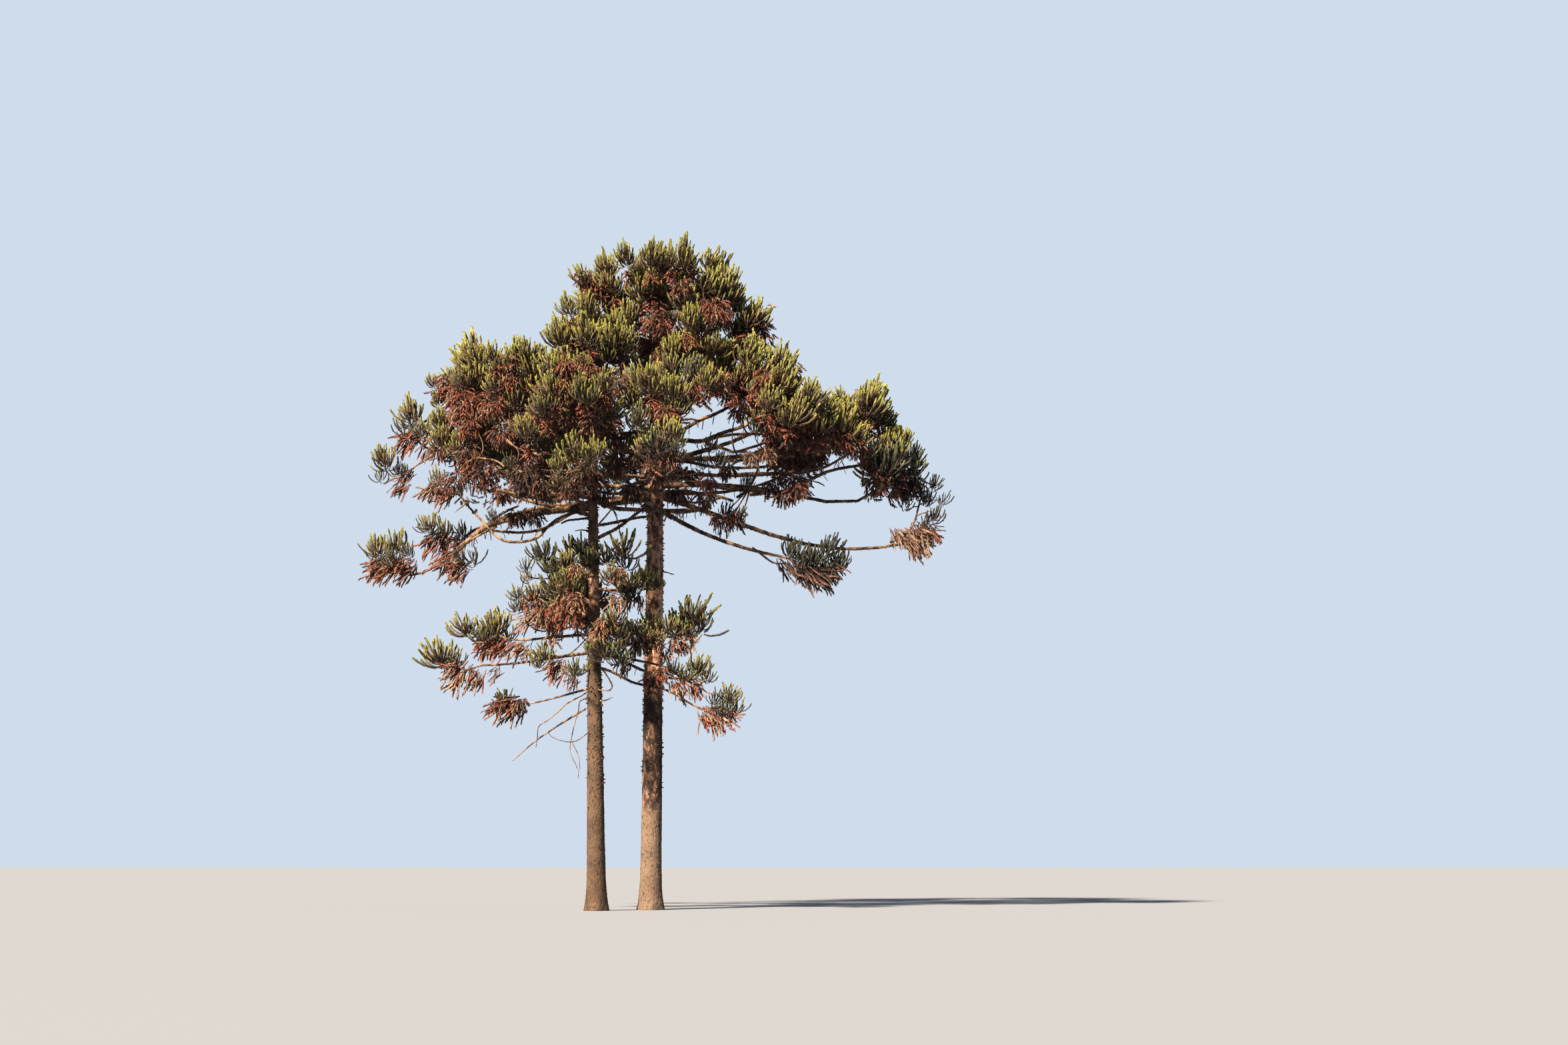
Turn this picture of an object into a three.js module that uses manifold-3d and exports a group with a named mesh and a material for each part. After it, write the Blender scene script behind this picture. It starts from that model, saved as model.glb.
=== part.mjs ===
// An old monkey puzzle tree with two stems, about 25 m tall, as separate solids: the two stems,
// the main boughs and the masses of foliage that they carry.
// Millimetres, +Z up, +X to the right as the tree is seen from its front, +Y away from that viewer.
// The origin is the middle of the flat cut under the main stem, at ground level.

import * as THREE from "three";
import { mergeVertices } from "three/addons/utils/BufferGeometryUtils.js";
import Module from "manifold-3d";

const wasm = await Module();
wasm.setup();

// Clearance that is left wherever one piece meets another.
const GAP = 0.5;
// Vertices nearer than this are one vertex.
const MERGE_WITHIN = 0.001;

// Each stem: where its foot stands, how far its tip has moved from above the foot, and its height.
// Its radius falls from foot to tip, slowly at first where the fullness is low.
const STEMS = {
  main: {
    foot: [0, 0],
    lean: [60, 150],
    height: 24200,
    footRadius: 390,
    tipRadius: 60,
    fullness: 0.4,
  },
  second: {
    foot: [-1820, -1500],
    lean: [-420, -350],
    height: 20300,
    footRadius: 350,
    tipRadius: 50,
    fullness: 0.78,
  },
};
const STEM_SIDES = 12;
const STEM_STEPS = 16;
// The rings of a stem lie closer near the foot the higher this is above 1.
const RING_CROWDING = 1.7;

// The root flare swells the foot and splits it into low ribs, and both die away up the stem.
const FLARE = { swell: 0.24, rib: 0.08, ribs: 4, reach: 420 };

// Masses of foliage. Each is placed by its stem, the bearing from that stem in degrees (0 to the
// right, -90 towards the viewer), its reach out from the stem and its height above the ground,
// and sized by half its width, half its depth and half its height.
const FOLIAGE = [
  // The dome round the top of the main stem.
  ["top_middle", "main", -91, 400, 23700, 1650, 2200, 1300],
  ["top_right", "main", 11, 2050, 23350, 1300, 1800, 1350],
  ["top_left", "main", 172, 2050, 23350, 1250, 1800, 1350],
  ["dome_front", "main", -63, 2700, 21150, 1500, 1800, 1250],
  ["dome_right_tip", "main", 6, 3700, 22000, 850, 1000, 950],
  ["dome_back", "main", 91, 2900, 21900, 2200, 2100, 1600],
  // The top of the second stem, which shows in front of the dome.
  ["second_top", "second", -98, 1100, 20500, 1450, 1700, 1450],
  // The shoulders.
  ["shoulder_right", "main", -12, 3650, 19950, 1750, 1900, 1450],
  ["left_inner", "second", 174, 2650, 19400, 1450, 2100, 1350],
  ["left_shoulder", "main", 180, 6950, 19650, 1300, 1800, 1200],
  ["front_left", "second", -95, 3000, 17800, 1750, 2100, 1450],
  ["front_middle", "main", -80, 4000, 18400, 1900, 2000, 1450],
  ["right_inner", "main", -24, 5450, 17950, 1600, 2300, 1450],
  ["right_shoulder", "main", 0, 7600, 18400, 1350, 1700, 1100],
  ["back_left", "main", 148, 4500, 19200, 2300, 2500, 1800],
  // The rim of the umbrella.
  ["left_rim", "main", -175, 7100, 17400, 1450, 2000, 1400],
  ["left_skirt", "second", -168, 4250, 15400, 1350, 1700, 1150],
  ["left_front_rim", "second", -123, 3500, 15800, 1350, 2000, 1400],
  ["front_rim_left", "second", -90, 5000, 15500, 1250, 1700, 1100],
  ["front_rim_right", "main", -85, 6300, 15900, 1350, 1900, 1200],
  ["right_shade", "main", 19, 5550, 16900, 1250, 2100, 1400],
  ["right_rim", "main", 1, 8850, 16600, 1250, 1700, 1350],
  ["back_rim_right", "main", 46, 6500, 18600, 2000, 2200, 1500],
  ["back_rim_middle", "main", 96, 6500, 17600, 2100, 2000, 1400],
  ["back_rim_left", "main", 133, 7000, 17200, 2000, 2000, 1450],
  // Tufts that stand clear of the umbrella.
  ["tip_left_high", "main", 176, 9200, 17950, 950, 950, 1050],
  ["tip_left_mid", "main", -176, 9700, 15950, 900, 900, 950],
  ["tip_left_low", "main", -176, 7750, 13150, 1200, 1050, 1150],
  ["tip_left_far", "main", 178, 9800, 12900, 1300, 1000, 1000],
  ["tip_right_low", "main", -10, 6000, 12500, 1200, 1100, 1000],
  ["tip_right_far", "main", 0, 9900, 14200, 950, 1000, 1600],
  // The lower whorls, all on the second stem.
  ["low_crown", "second", -128, 600, 12750, 1250, 1500, 950],
  ["low_left_high", "second", -148, 2000, 10900, 1350, 1400, 1000],
  ["low_right_high", "second", -32, 1400, 11750, 1200, 1200, 850],
  ["low_left_mid", "second", -179, 4000, 9800, 1200, 1100, 850],
  ["low_left_far", "second", -172, 4950, 8650, 1050, 1000, 850],
  ["low_front", "second", -132, 1700, 8850, 1150, 1300, 850],
  ["low_middle", "second", -19, 1150, 9750, 1250, 1200, 950],
  ["low_right_mid", "second", -2, 3300, 10150, 1150, 1200, 950],
  ["low_right", "second", -7, 3500, 8250, 950, 1100, 800],
  ["low_right_far", "second", -9, 4400, 7050, 950, 1000, 850],
  ["low_left_tip", "second", 178, 3050, 7200, 700, 800, 600],
  ["low_back", "second", 112, 1900, 10900, 1750, 1900, 1350],
];
// A mass that is less wide than this has fewer facets.
const SMALL_MASS = 1310;
// A mass swells and dips by these shares of its size, in waves over the direction from its middle.
const BROAD_LOBES = { share: 0.09, across: 2.9, away: 2.6 };
const FINE_LOBES = { share: 0.05, across: 4.7, up: 5.3 };

// Boughs. Each leaves its stem at a height and ends where it enters the mass of foliage that it is
// named after, heading for a point under that mass's middle where it comes in low. It hangs below
// the straight way by its sag, or arches over it where that is negative, and most of all nearer its
// outer end the later it droops. One without a stem starts inside the mass named as its source.
const BOUGHS = [
  ["tip_right_low", { stem: "main", leaves: 14750, under: 0, sag: 400, late: 0.85, radius: 95 }],
  ["tip_right_far", { stem: "main", leaves: 15150, under: 700, sag: 900, late: 1.4, radius: 105 }],
  ["right_rim", { stem: "main", leaves: 15550, under: 800, sag: 850, late: 3, radius: 110 }],
  ["right_inner", { stem: "main", leaves: 16300, under: 0, sag: 300, late: 1.5, radius: 110 }],
  ["tip_left_low", { stem: "main", leaves: 15100, under: 0, sag: -650, late: 1.4, radius: 105 }],
  ["left_shoulder", { stem: "main", leaves: 16500, under: 0, sag: 700, late: 1.5, radius: 110 }],
  ["left_skirt", { stem: "second", leaves: 14100, under: 0, sag: 250, late: 1.5, radius: 85 }],
  ["tip_left_mid", { source: "left_rim", under: 0, sag: 250, late: 1.5, radius: 55 }],
  ["front_rim_left", { stem: "second", leaves: 14700, under: 0, sag: 300, late: 1.5, radius: 85 }],
  ["front_rim_right", { stem: "main", leaves: 15250, under: 0, sag: 500, late: 1.5, radius: 105 }],
  ["back_rim_middle", { stem: "main", leaves: 15800, under: 0, sag: 700, late: 1.5, radius: 110 }],
  ["low_left_far", { stem: "second", leaves: 9150, under: 0, sag: 150, late: 1.5, radius: 62 }],
  ["low_right", { stem: "second", leaves: 9150, under: 0, sag: -120, late: 1.5, radius: 62 }],
  ["low_left_tip", { stem: "second", leaves: 7900, under: 0, sag: 60, late: 1.5, radius: 48 }],
];
const BOUGH_SIDES = 6;
const BOUGH_STEPS = 7;
const BOUGH_TAPER = 0.42;

// The dead limb low on the second stem, which ends in the open: how far across, away and down its
// end lies from where it leaves.
const DEAD_LIMB = {
  stem: "second",
  leaves: 7350,
  across: -2950,
  away: -150,
  drop: 2150,
  sag: -150,
  late: 1.5,
  radius: 46,
};

const FINISHES = {
  bark: new THREE.MeshStandardMaterial({ color: 0x8a6f5a, roughness: 0.95, metalness: 0 }),
  bough: new THREE.MeshStandardMaterial({ color: 0x7b6048, roughness: 0.9, metalness: 0 }),
  foliage: new THREE.MeshStandardMaterial({ color: 0x5d6330, roughness: 0.8, metalness: 0 }),
};

function radians(degrees) {
  return (degrees * Math.PI) / 180;
}

// A closed geometry as a solid, with only its merged positions kept.
function solidOf(geometry) {
  const bare = geometry.clone();
  bare.deleteAttribute("normal");
  bare.deleteAttribute("uv");
  const merged = mergeVertices(bare, MERGE_WITHIN);
  return new wasm.Manifold(
    new wasm.Mesh({
      numProp: 3,
      vertProperties: merged.attributes.position.array,
      triVerts: new Uint32Array(merged.index.array),
    }),
  );
}

function geometryOf(solid) {
  const mesh = solid.getMesh();
  const geometry = new THREE.BufferGeometry();
  geometry.setAttribute("position", new THREE.BufferAttribute(mesh.vertProperties, 3));
  geometry.setIndex(new THREE.BufferAttribute(mesh.triVerts, 1));
  geometry.computeVertexNormals();
  return geometry;
}

// Moves every vertex of an upright unit cylinder: place(t, x, y) gets the share of the way up and
// the vertex's place across the axis.
function shapedCylinder(sides, steps, place) {
  const geometry = new THREE.CylinderGeometry(1, 1, 1, sides, steps);
  const at = geometry.attributes.position;
  for (let i = 0; i < at.count; i++) {
    const point = place(at.getY(i) + 0.5, at.getX(i), -at.getZ(i));
    at.setXYZ(i, point.x, point.y, point.z);
  }
  return geometry;
}

// The middle of a stem at a height.
function stemAxis(stem, height) {
  const share = height / stem.height;
  return new THREE.Vector3(
    stem.foot[0] + stem.lean[0] * share,
    stem.foot[1] + stem.lean[1] * share,
    height,
  );
}

function stemRadius(stem, height, bearing) {
  const share = Math.max(0, 1 - height / stem.height);
  const trunk = stem.tipRadius + (stem.footRadius - stem.tipRadius) * share ** stem.fullness;
  const fade = Math.exp(-height / FLARE.reach);
  return trunk * (1 + fade * (FLARE.swell + FLARE.rib * Math.cos(FLARE.ribs * bearing)));
}

// A stem with level rings, so that its foot is one flat cut.
function stemSolid(stem, extra) {
  return solidOf(
    shapedCylinder(STEM_SIDES, STEM_STEPS, (t, x, y) => {
      const height = stem.height * t ** RING_CROWDING;
      const radius = stemRadius(stem, height, Math.atan2(y, x)) + extra;
      return stemAxis(stem, height).add(new THREE.Vector3(x * radius, y * radius, 0));
    }),
  );
}

function massCentre([, stem, bearing, reach, height]) {
  const axis = stemAxis(STEMS[stem], height);
  const angle = radians(bearing);
  return axis.add(new THREE.Vector3(reach * Math.cos(angle), reach * Math.sin(angle), 0));
}

// How uneven a mass is in a direction from its middle: broad lobes that differ from mass to mass.
function unevenness(direction, seed) {
  const { x, y, z } = direction;
  const broad = Math.sin(BROAD_LOBES.across * x + seed) * Math.cos(BROAD_LOBES.away * y - 2 * seed);
  const fine = Math.sin(FINE_LOBES.up * z + 3 * seed) * Math.cos(FINE_LOBES.across * x + seed);
  return 1 + BROAD_LOBES.share * broad + FINE_LOBES.share * fine;
}

function massSolid(row, seed, extra) {
  const [width, depth, height] = row.slice(5);
  const centre = massCentre(row);
  const geometry = new THREE.IcosahedronGeometry(1, width < SMALL_MASS ? 1 : 2);
  const at = geometry.attributes.position;
  for (let i = 0; i < at.count; i++) {
    const direction = new THREE.Vector3().fromBufferAttribute(at, i).normalize();
    const swell = unevenness(direction, seed);
    at.setXYZ(
      i,
      centre.x + direction.x * (width * swell + extra),
      centre.y + direction.y * (depth * swell + extra),
      centre.z + direction.z * (height * swell + extra),
    );
  }
  return solidOf(geometry);
}

// The line of a limb from one point to another. It hangs below the straight way by its sag, which
// is greatest halfway along, or further out the later it droops.
function limbLine(from, to, sag, late) {
  const points = [];
  for (let i = 0; i <= BOUGH_STEPS; i++) {
    const t = i / BOUGH_STEPS;
    const point = from.clone().lerp(to, t);
    point.z -= sag * Math.sin(Math.PI * t ** late);
    points.push(point);
  }
  return new THREE.CatmullRomCurve3(points);
}

// A tapering limb along a line. Its rings stand square to the line, with one side kept level.
function limbSolid(line, radius, extra) {
  const up = new THREE.Vector3(0, 0, 1);
  return solidOf(
    shapedCylinder(BOUGH_SIDES, BOUGH_STEPS, (t, x, y) => {
      const along = line.getTangent(t);
      const side = new THREE.Vector3().crossVectors(up, along).normalize();
      const over = new THREE.Vector3().crossVectors(along, side);
      const here = radius * (1 - (1 - BOUGH_TAPER) * t) + extra;
      return line.getPoint(t).addScaledVector(side, x * here).addScaledVector(over, y * here);
    }),
  );
}

// The piece of a cut solid that holds most of it, so that no sliver is kept.
function largestPiece(solid) {
  return solid.decompose().reduce((a, b) => (a.volume() > b.volume() ? a : b));
}

// Every piece is made twice: as it is, and grown by the gap to cut what meets it.
function withCutter(make) {
  return { solid: make(0), cutter: make(GAP) };
}

const stems = Object.values(STEMS).map((stem) => withCutter((extra) => stemSolid(stem, extra)));

const masses = new Map(
  FOLIAGE.map((row, i) => [
    row[0],
    { centre: massCentre(row), ...withCutter((extra) => massSolid(row, i + 1, extra)) },
  ]),
);

const boughs = BOUGHS.map(([name, { stem, source, leaves, under, sag, late, radius }]) => {
  const from = stem ? stemAxis(STEMS[stem], leaves) : masses.get(source).centre;
  const to = masses.get(name).centre.clone();
  to.z -= under;
  const line = limbLine(from, to, sag, late);
  return {
    name: `bough_${name}`,
    ends: source ? [name, source] : [name],
    ...withCutter((extra) => limbSolid(line, radius, extra)),
  };
});

const deadFrom = stemAxis(STEMS[DEAD_LIMB.stem], DEAD_LIMB.leaves);
const deadTo = deadFrom
  .clone()
  .add(new THREE.Vector3(DEAD_LIMB.across, DEAD_LIMB.away, -DEAD_LIMB.drop));
const deadLine = limbLine(deadFrom, deadTo, DEAD_LIMB.sag, DEAD_LIMB.late);
boughs.push({
  name: "dead_limb",
  ends: [],
  ...withCutter((extra) => limbSolid(deadLine, DEAD_LIMB.radius, extra)),
});

const tree = new THREE.Group();

function addPiece(name, solid, finish) {
  const mesh = new THREE.Mesh(geometryOf(solid), finish);
  mesh.name = name;
  tree.add(mesh);
}

Object.keys(STEMS).forEach((name, i) => addPiece(`${name}_stem`, stems[i].solid, FINISHES.bark));

// A bough starts at the bark and ends at its own mass. It runs on whole past any other mass.
for (const bough of boughs) {
  let solid = bough.solid;
  for (const { cutter } of stems) solid = solid.subtract(cutter);
  for (const end of bough.ends) solid = solid.subtract(masses.get(end).cutter);
  addPiece(bough.name, largestPiece(solid), FINISHES.bough);
}

// A mass is cut round the stems, the boughs that only pass it, and the masses listed before it.
const earlier = [];
for (const [name, mass] of masses) {
  let solid = mass.solid;
  for (const { cutter } of stems) solid = solid.subtract(cutter);
  for (const bough of boughs) {
    if (!bough.ends.includes(name)) solid = solid.subtract(bough.cutter);
  }
  for (const cutter of earlier) solid = solid.subtract(cutter);
  earlier.push(mass.cutter);
  addPiece(`foliage_${name}`, largestPiece(solid), FINISHES.foliage);
}

export default tree;
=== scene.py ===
import math
import random

import bmesh
import bpy
import numpy as np
from mathutils import Matrix, Vector


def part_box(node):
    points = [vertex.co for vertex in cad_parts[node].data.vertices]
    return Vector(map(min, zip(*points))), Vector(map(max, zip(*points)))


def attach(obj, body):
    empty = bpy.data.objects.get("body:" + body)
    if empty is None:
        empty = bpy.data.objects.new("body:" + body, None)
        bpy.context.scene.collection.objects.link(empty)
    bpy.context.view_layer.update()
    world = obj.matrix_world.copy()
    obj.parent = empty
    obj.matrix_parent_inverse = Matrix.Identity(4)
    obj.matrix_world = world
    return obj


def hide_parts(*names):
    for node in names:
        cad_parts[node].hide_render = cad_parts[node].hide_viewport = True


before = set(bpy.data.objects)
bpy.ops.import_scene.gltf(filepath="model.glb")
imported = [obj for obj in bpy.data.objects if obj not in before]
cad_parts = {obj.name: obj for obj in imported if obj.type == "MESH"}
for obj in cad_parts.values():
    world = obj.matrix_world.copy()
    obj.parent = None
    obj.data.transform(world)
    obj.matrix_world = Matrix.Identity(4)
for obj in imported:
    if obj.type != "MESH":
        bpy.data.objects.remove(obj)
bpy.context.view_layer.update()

UP = Vector((0, 0, 1))
GOLDEN = math.radians(137.5)
BODY = "root"
chance = random.Random(20)

# The camera stands at a person's eye height and looks slightly up, as the photograph does. The lens
# and the sensor are in millimetres.
CAMERA_PLACE = (4.81, -79.71, 1.64)
CAMERA_PITCH = 8.91
CAMERA_LENS = 50
SENSOR_WIDTH = 36
CAMERA_SEES_TO = 4000

# The sun, in degrees: its height, how far it stands to the viewer's left, and its apparent width.
SUN_ELEVATION = 37
SUN_LEFT = 36
SUN_WIDTH = 4
SUN_STRENGTH = 12.3
SUN_COLOUR = (1.0, 0.84, 0.64)

# The floor is a disc, and the backdrop a dome far behind it.
FLOOR_RADIUS = 900
FLOOR_CORNERS = 96
SKY_RADIUS = 1400

# Colours, as they look in daylight, but for the painted shade and sun noted below. A spray's are those of
# its shoots' base, body and tip.
BACKDROP = "#cfdcec"
FLOOR = "#9297a0"
FILL_COLOUR = "#c4d2ea"
FILL_STRENGTH = 0.33
# The live shoots' darker bases partly paint the shade deep inside a brush, and their yellow tips partly
# paint the sun on its top; both are also the real older and younger growth.
LIVE_SPRAYS = [
    # shade: painted shade, dark tints for live shoots where the crown's shade falls.
    ("shade", "#2b2520", "#302f25", "#40422a"),
    ("deep", "#473d2f", "#4c4831", "#636537"),
    ("olive", "#4f3e2d", "#6d613c", "#85813a"),
    ("green", "#4c3d2b", "#6b643a", "#8a8b3b"),
    ("yellow", "#5c4935", "#7d7244", "#9e9c46"),
]
DEAD_SPRAYS = [
    ("rust", "#6b3a2a", "#8a4d38", "#9a5942"),
    ("brown", "#523629", "#6a4737", "#7b5542"),
    ("tan", "#7a5e4d", "#93735c", "#a8856b"),
    # dark: painted shade, for dead shoots where shade falls.
    ("dark", "#2c1f1a", "#3a2822", "#4b342a"),
    ("straw", "#826a56", "#9c8168", "#b5987c"),
]
SHOOT_PARTS = ["base", "body", "tip"]
# The dead tints by number, and those that each kind of dead shoot takes.
RUST, BROWN, TAN, PAINTED_SHADE, STRAW = range(len(DEAD_SPRAYS))
MOP_TINTS = [
    (RUST, RUST, RUST, BROWN, TAN), (RUST, RUST, BROWN, BROWN, PAINTED_SHADE), (BROWN, BROWN, RUST, PAINTED_SHADE, PAINTED_SHADE),
    (RUST, TAN, TAN, BROWN),
]
SKIRT_TINTS = (RUST, RUST, BROWN, BROWN, TAN)
HEAD_SKIRT_TINTS = (RUST, RUST, RUST, BROWN, PAINTED_SHADE)
FRINGE_TINTS = (BROWN, PAINTED_SHADE, RUST)
# The shoots inside a mass take mostly the painted shade tint.
FILL_TINTS = (PAINTED_SHADE, PAINTED_SHADE, PAINTED_SHADE, BROWN)
# Those of the tufts that show singly, by the tone that each row stays under: they bleach as it rises, and
# the lowest tones take the painted shade tint.
CROWN_TINTS = [
    (0.0, (PAINTED_SHADE, PAINTED_SHADE, BROWN)), (0.25, (RUST, BROWN, BROWN, PAINTED_SHADE)), (0.65, (RUST, RUST, BROWN, TAN)),
    (math.inf, (TAN, TAN, BROWN)),
]
LOW_TINTS = [
    (0.25, (BROWN, RUST, TAN, PAINTED_SHADE)), (0.65, (STRAW, TAN, RUST, RUST)), (math.inf, (STRAW, TAN, RUST)),
]
TWIG_COLOUR = "#5f4533"
# Bark: the tones from dark to light and then the cracks, and zones of blotches, each with its own
# tones from dark to light and the heights where it starts and where it is whole. On the main stem and
# the boughs the blotches paint dapples of sun and shade.
MAIN_TONES = ["#6f5a49", "#796351", "#836c58", "#8d755f", "#493a2f"]
MAIN_PATCH_AND_PAINTED_DAPPLE_ZONES = [
    # Painted shade: the shadow that the lower whorls cast on the stem from here up, with small painted
    # dapples of sun.
    ("#2d1f1a", "#453128", "#92705a", 3.4, 3.9),
    # The reddish bark's own patches higher up, with bright patches that paint dapples of sun where the
    # crown shades the stem.
    ("#4e3227", "#a4775d", "#f6c29c", 7.5, 9.0),
]
SECOND_TONES = ["#4c392c", "#574333", "#634c3b", "#6e5744", "#33261c"]
SECOND_ZONES = [("#543e31", "#785b48", "#a17f65", 8.5, 10.0)]
BOUGH_TONES = ["#5c4836", "#77604b", "#8f755c", "#a0866a", "#3b2d21"]
# Painted light and shade: blotches all over in the tones of a lit limb and a shaded one.
BOUGH_PAINTED_DAPPLE_ZONES = [("#34261d", "#6c523e", "#a37f5e", 0.0, 2.0)]

# Masses of foliage by the piece that their live shoots are joined into. Each has the share of its
# brushes that have died, and how far its live ones have turned from dark to yellow green; the dark
# end is partly painted shade, for masses that lie in the crown's shade.
CROWN_PARTS = {
    "dome": [
        ("top_middle", 0.12, 0.5), ("top_right", 0.15, 0.5), ("top_left", 0.2, 0.55),
        ("dome_front", 0.55, 0.4), ("dome_right_tip", 0.15, 0.6), ("second_top", 0.12, 0.55),
    ],
    "left_crown": [
        ("left_inner", 0.35, 0.5), ("left_shoulder", 0.3, 0.75), ("front_left", 0.45, 0.4),
        ("left_rim", 0.6, 0.4), ("left_skirt", 0.85, 0.4), ("left_front_rim", 0.7, 0.3),
    ],
    "right_crown": [
        ("shoulder_right", 0.35, 0.5), ("front_middle", 0.45, 0.35), ("right_inner", 0.4, 0.5),
        ("right_shoulder", 0.15, 0.7), ("right_shade", 0.75, 0.15), ("right_rim", 0.35, 0.45),
    ],
    "back_left_crown": [("back_left", 0.3, 0.5), ("back_rim_left", 0.35, 0.4), ("dome_back", 0.25, 0.5)],
    "back_right_crown": [
        ("back_rim_right", 0.35, 0.45), ("back_rim_middle", 0.4, 0.4), ("front_rim_left", 0.45, 0.6),
        ("front_rim_right", 0.5, 0.4),
    ],
    "low_whorls": [
        ("low_crown", 0.35, 0.3), ("low_left_high", 0.45, 0.3), ("low_right_high", 0.4, 0.3),
        ("low_left_mid", 0.35, 0.35), ("low_left_far", 0.4, 0.35), ("low_front", 0.5, 0.3),
        ("low_middle", 0.45, 0.3), ("low_right_mid", 0.3, 0.35), ("low_right", 0.4, 0.3),
        ("low_right_far", 0.35, 0.35), ("low_left_tip", 0.3, 0.35), ("low_back", 0.4, 0.3),
    ],
}
# The lower whorls, whose brushes grow on their far side and whose near side is built of tufts, are
# the masses named low_*. Those that a seen limb leads to have no other limb of their own.
LED_TO = ["low_left_mid", "low_right_mid", "low_right_far"]
# Masses that stand clear of the umbrella, which are built of tufts alone, and the masses whose limbs
# three of them grow on from.
TIPS = ["tip_left_high", "tip_left_mid", "tip_left_low", "tip_left_far", "tip_right_low", "tip_right_far"]
GROWS_FROM = {"tip_left_high": "left_rim", "tip_left_mid": "left_rim", "tip_left_far": "tip_left_low"}
# Masses with brushes on their upper side only, as their limbs show bare below: the least upward
# part of a brush's direction.
BARE_BELOW = {
    "front_rim_left": 0.35, "front_rim_right": 0.45, "left_front_rim": 0.25, "left_skirt": 0.6,
    "front_middle": -0.1, "right_shade": -0.1, "left_rim": -0.1,
}
# Where the sky shows through the crown from the front: least and greatest across, then up, on the
# upright plane through the main stem.
SEEN_THROUGH = [
    (1.15, 3.2, 17.4, 18.7), (1.15, 4.1, 15.4, 17.6), (-7.3, -4.5, 10.9, 13.5), (-1.6, -0.3, 10.3, 11.5),
    (-1.0, -0.2, 12.4, 13.9), (-5.6, -2.8, 9.0, 10.1), (-5.6, -3.0, 7.3, 8.8), (-1.9, -0.3, 7.0, 9.0),
    (0.0, 3.2, 11.1, 13.9), (-0.1, 3.2, 7.0, 9.0), (-6.9, -5.6, 6.0, 8.2),
]
# How far the middle of a brush keeps from there.
SEEN_MARGIN = 0.25
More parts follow.
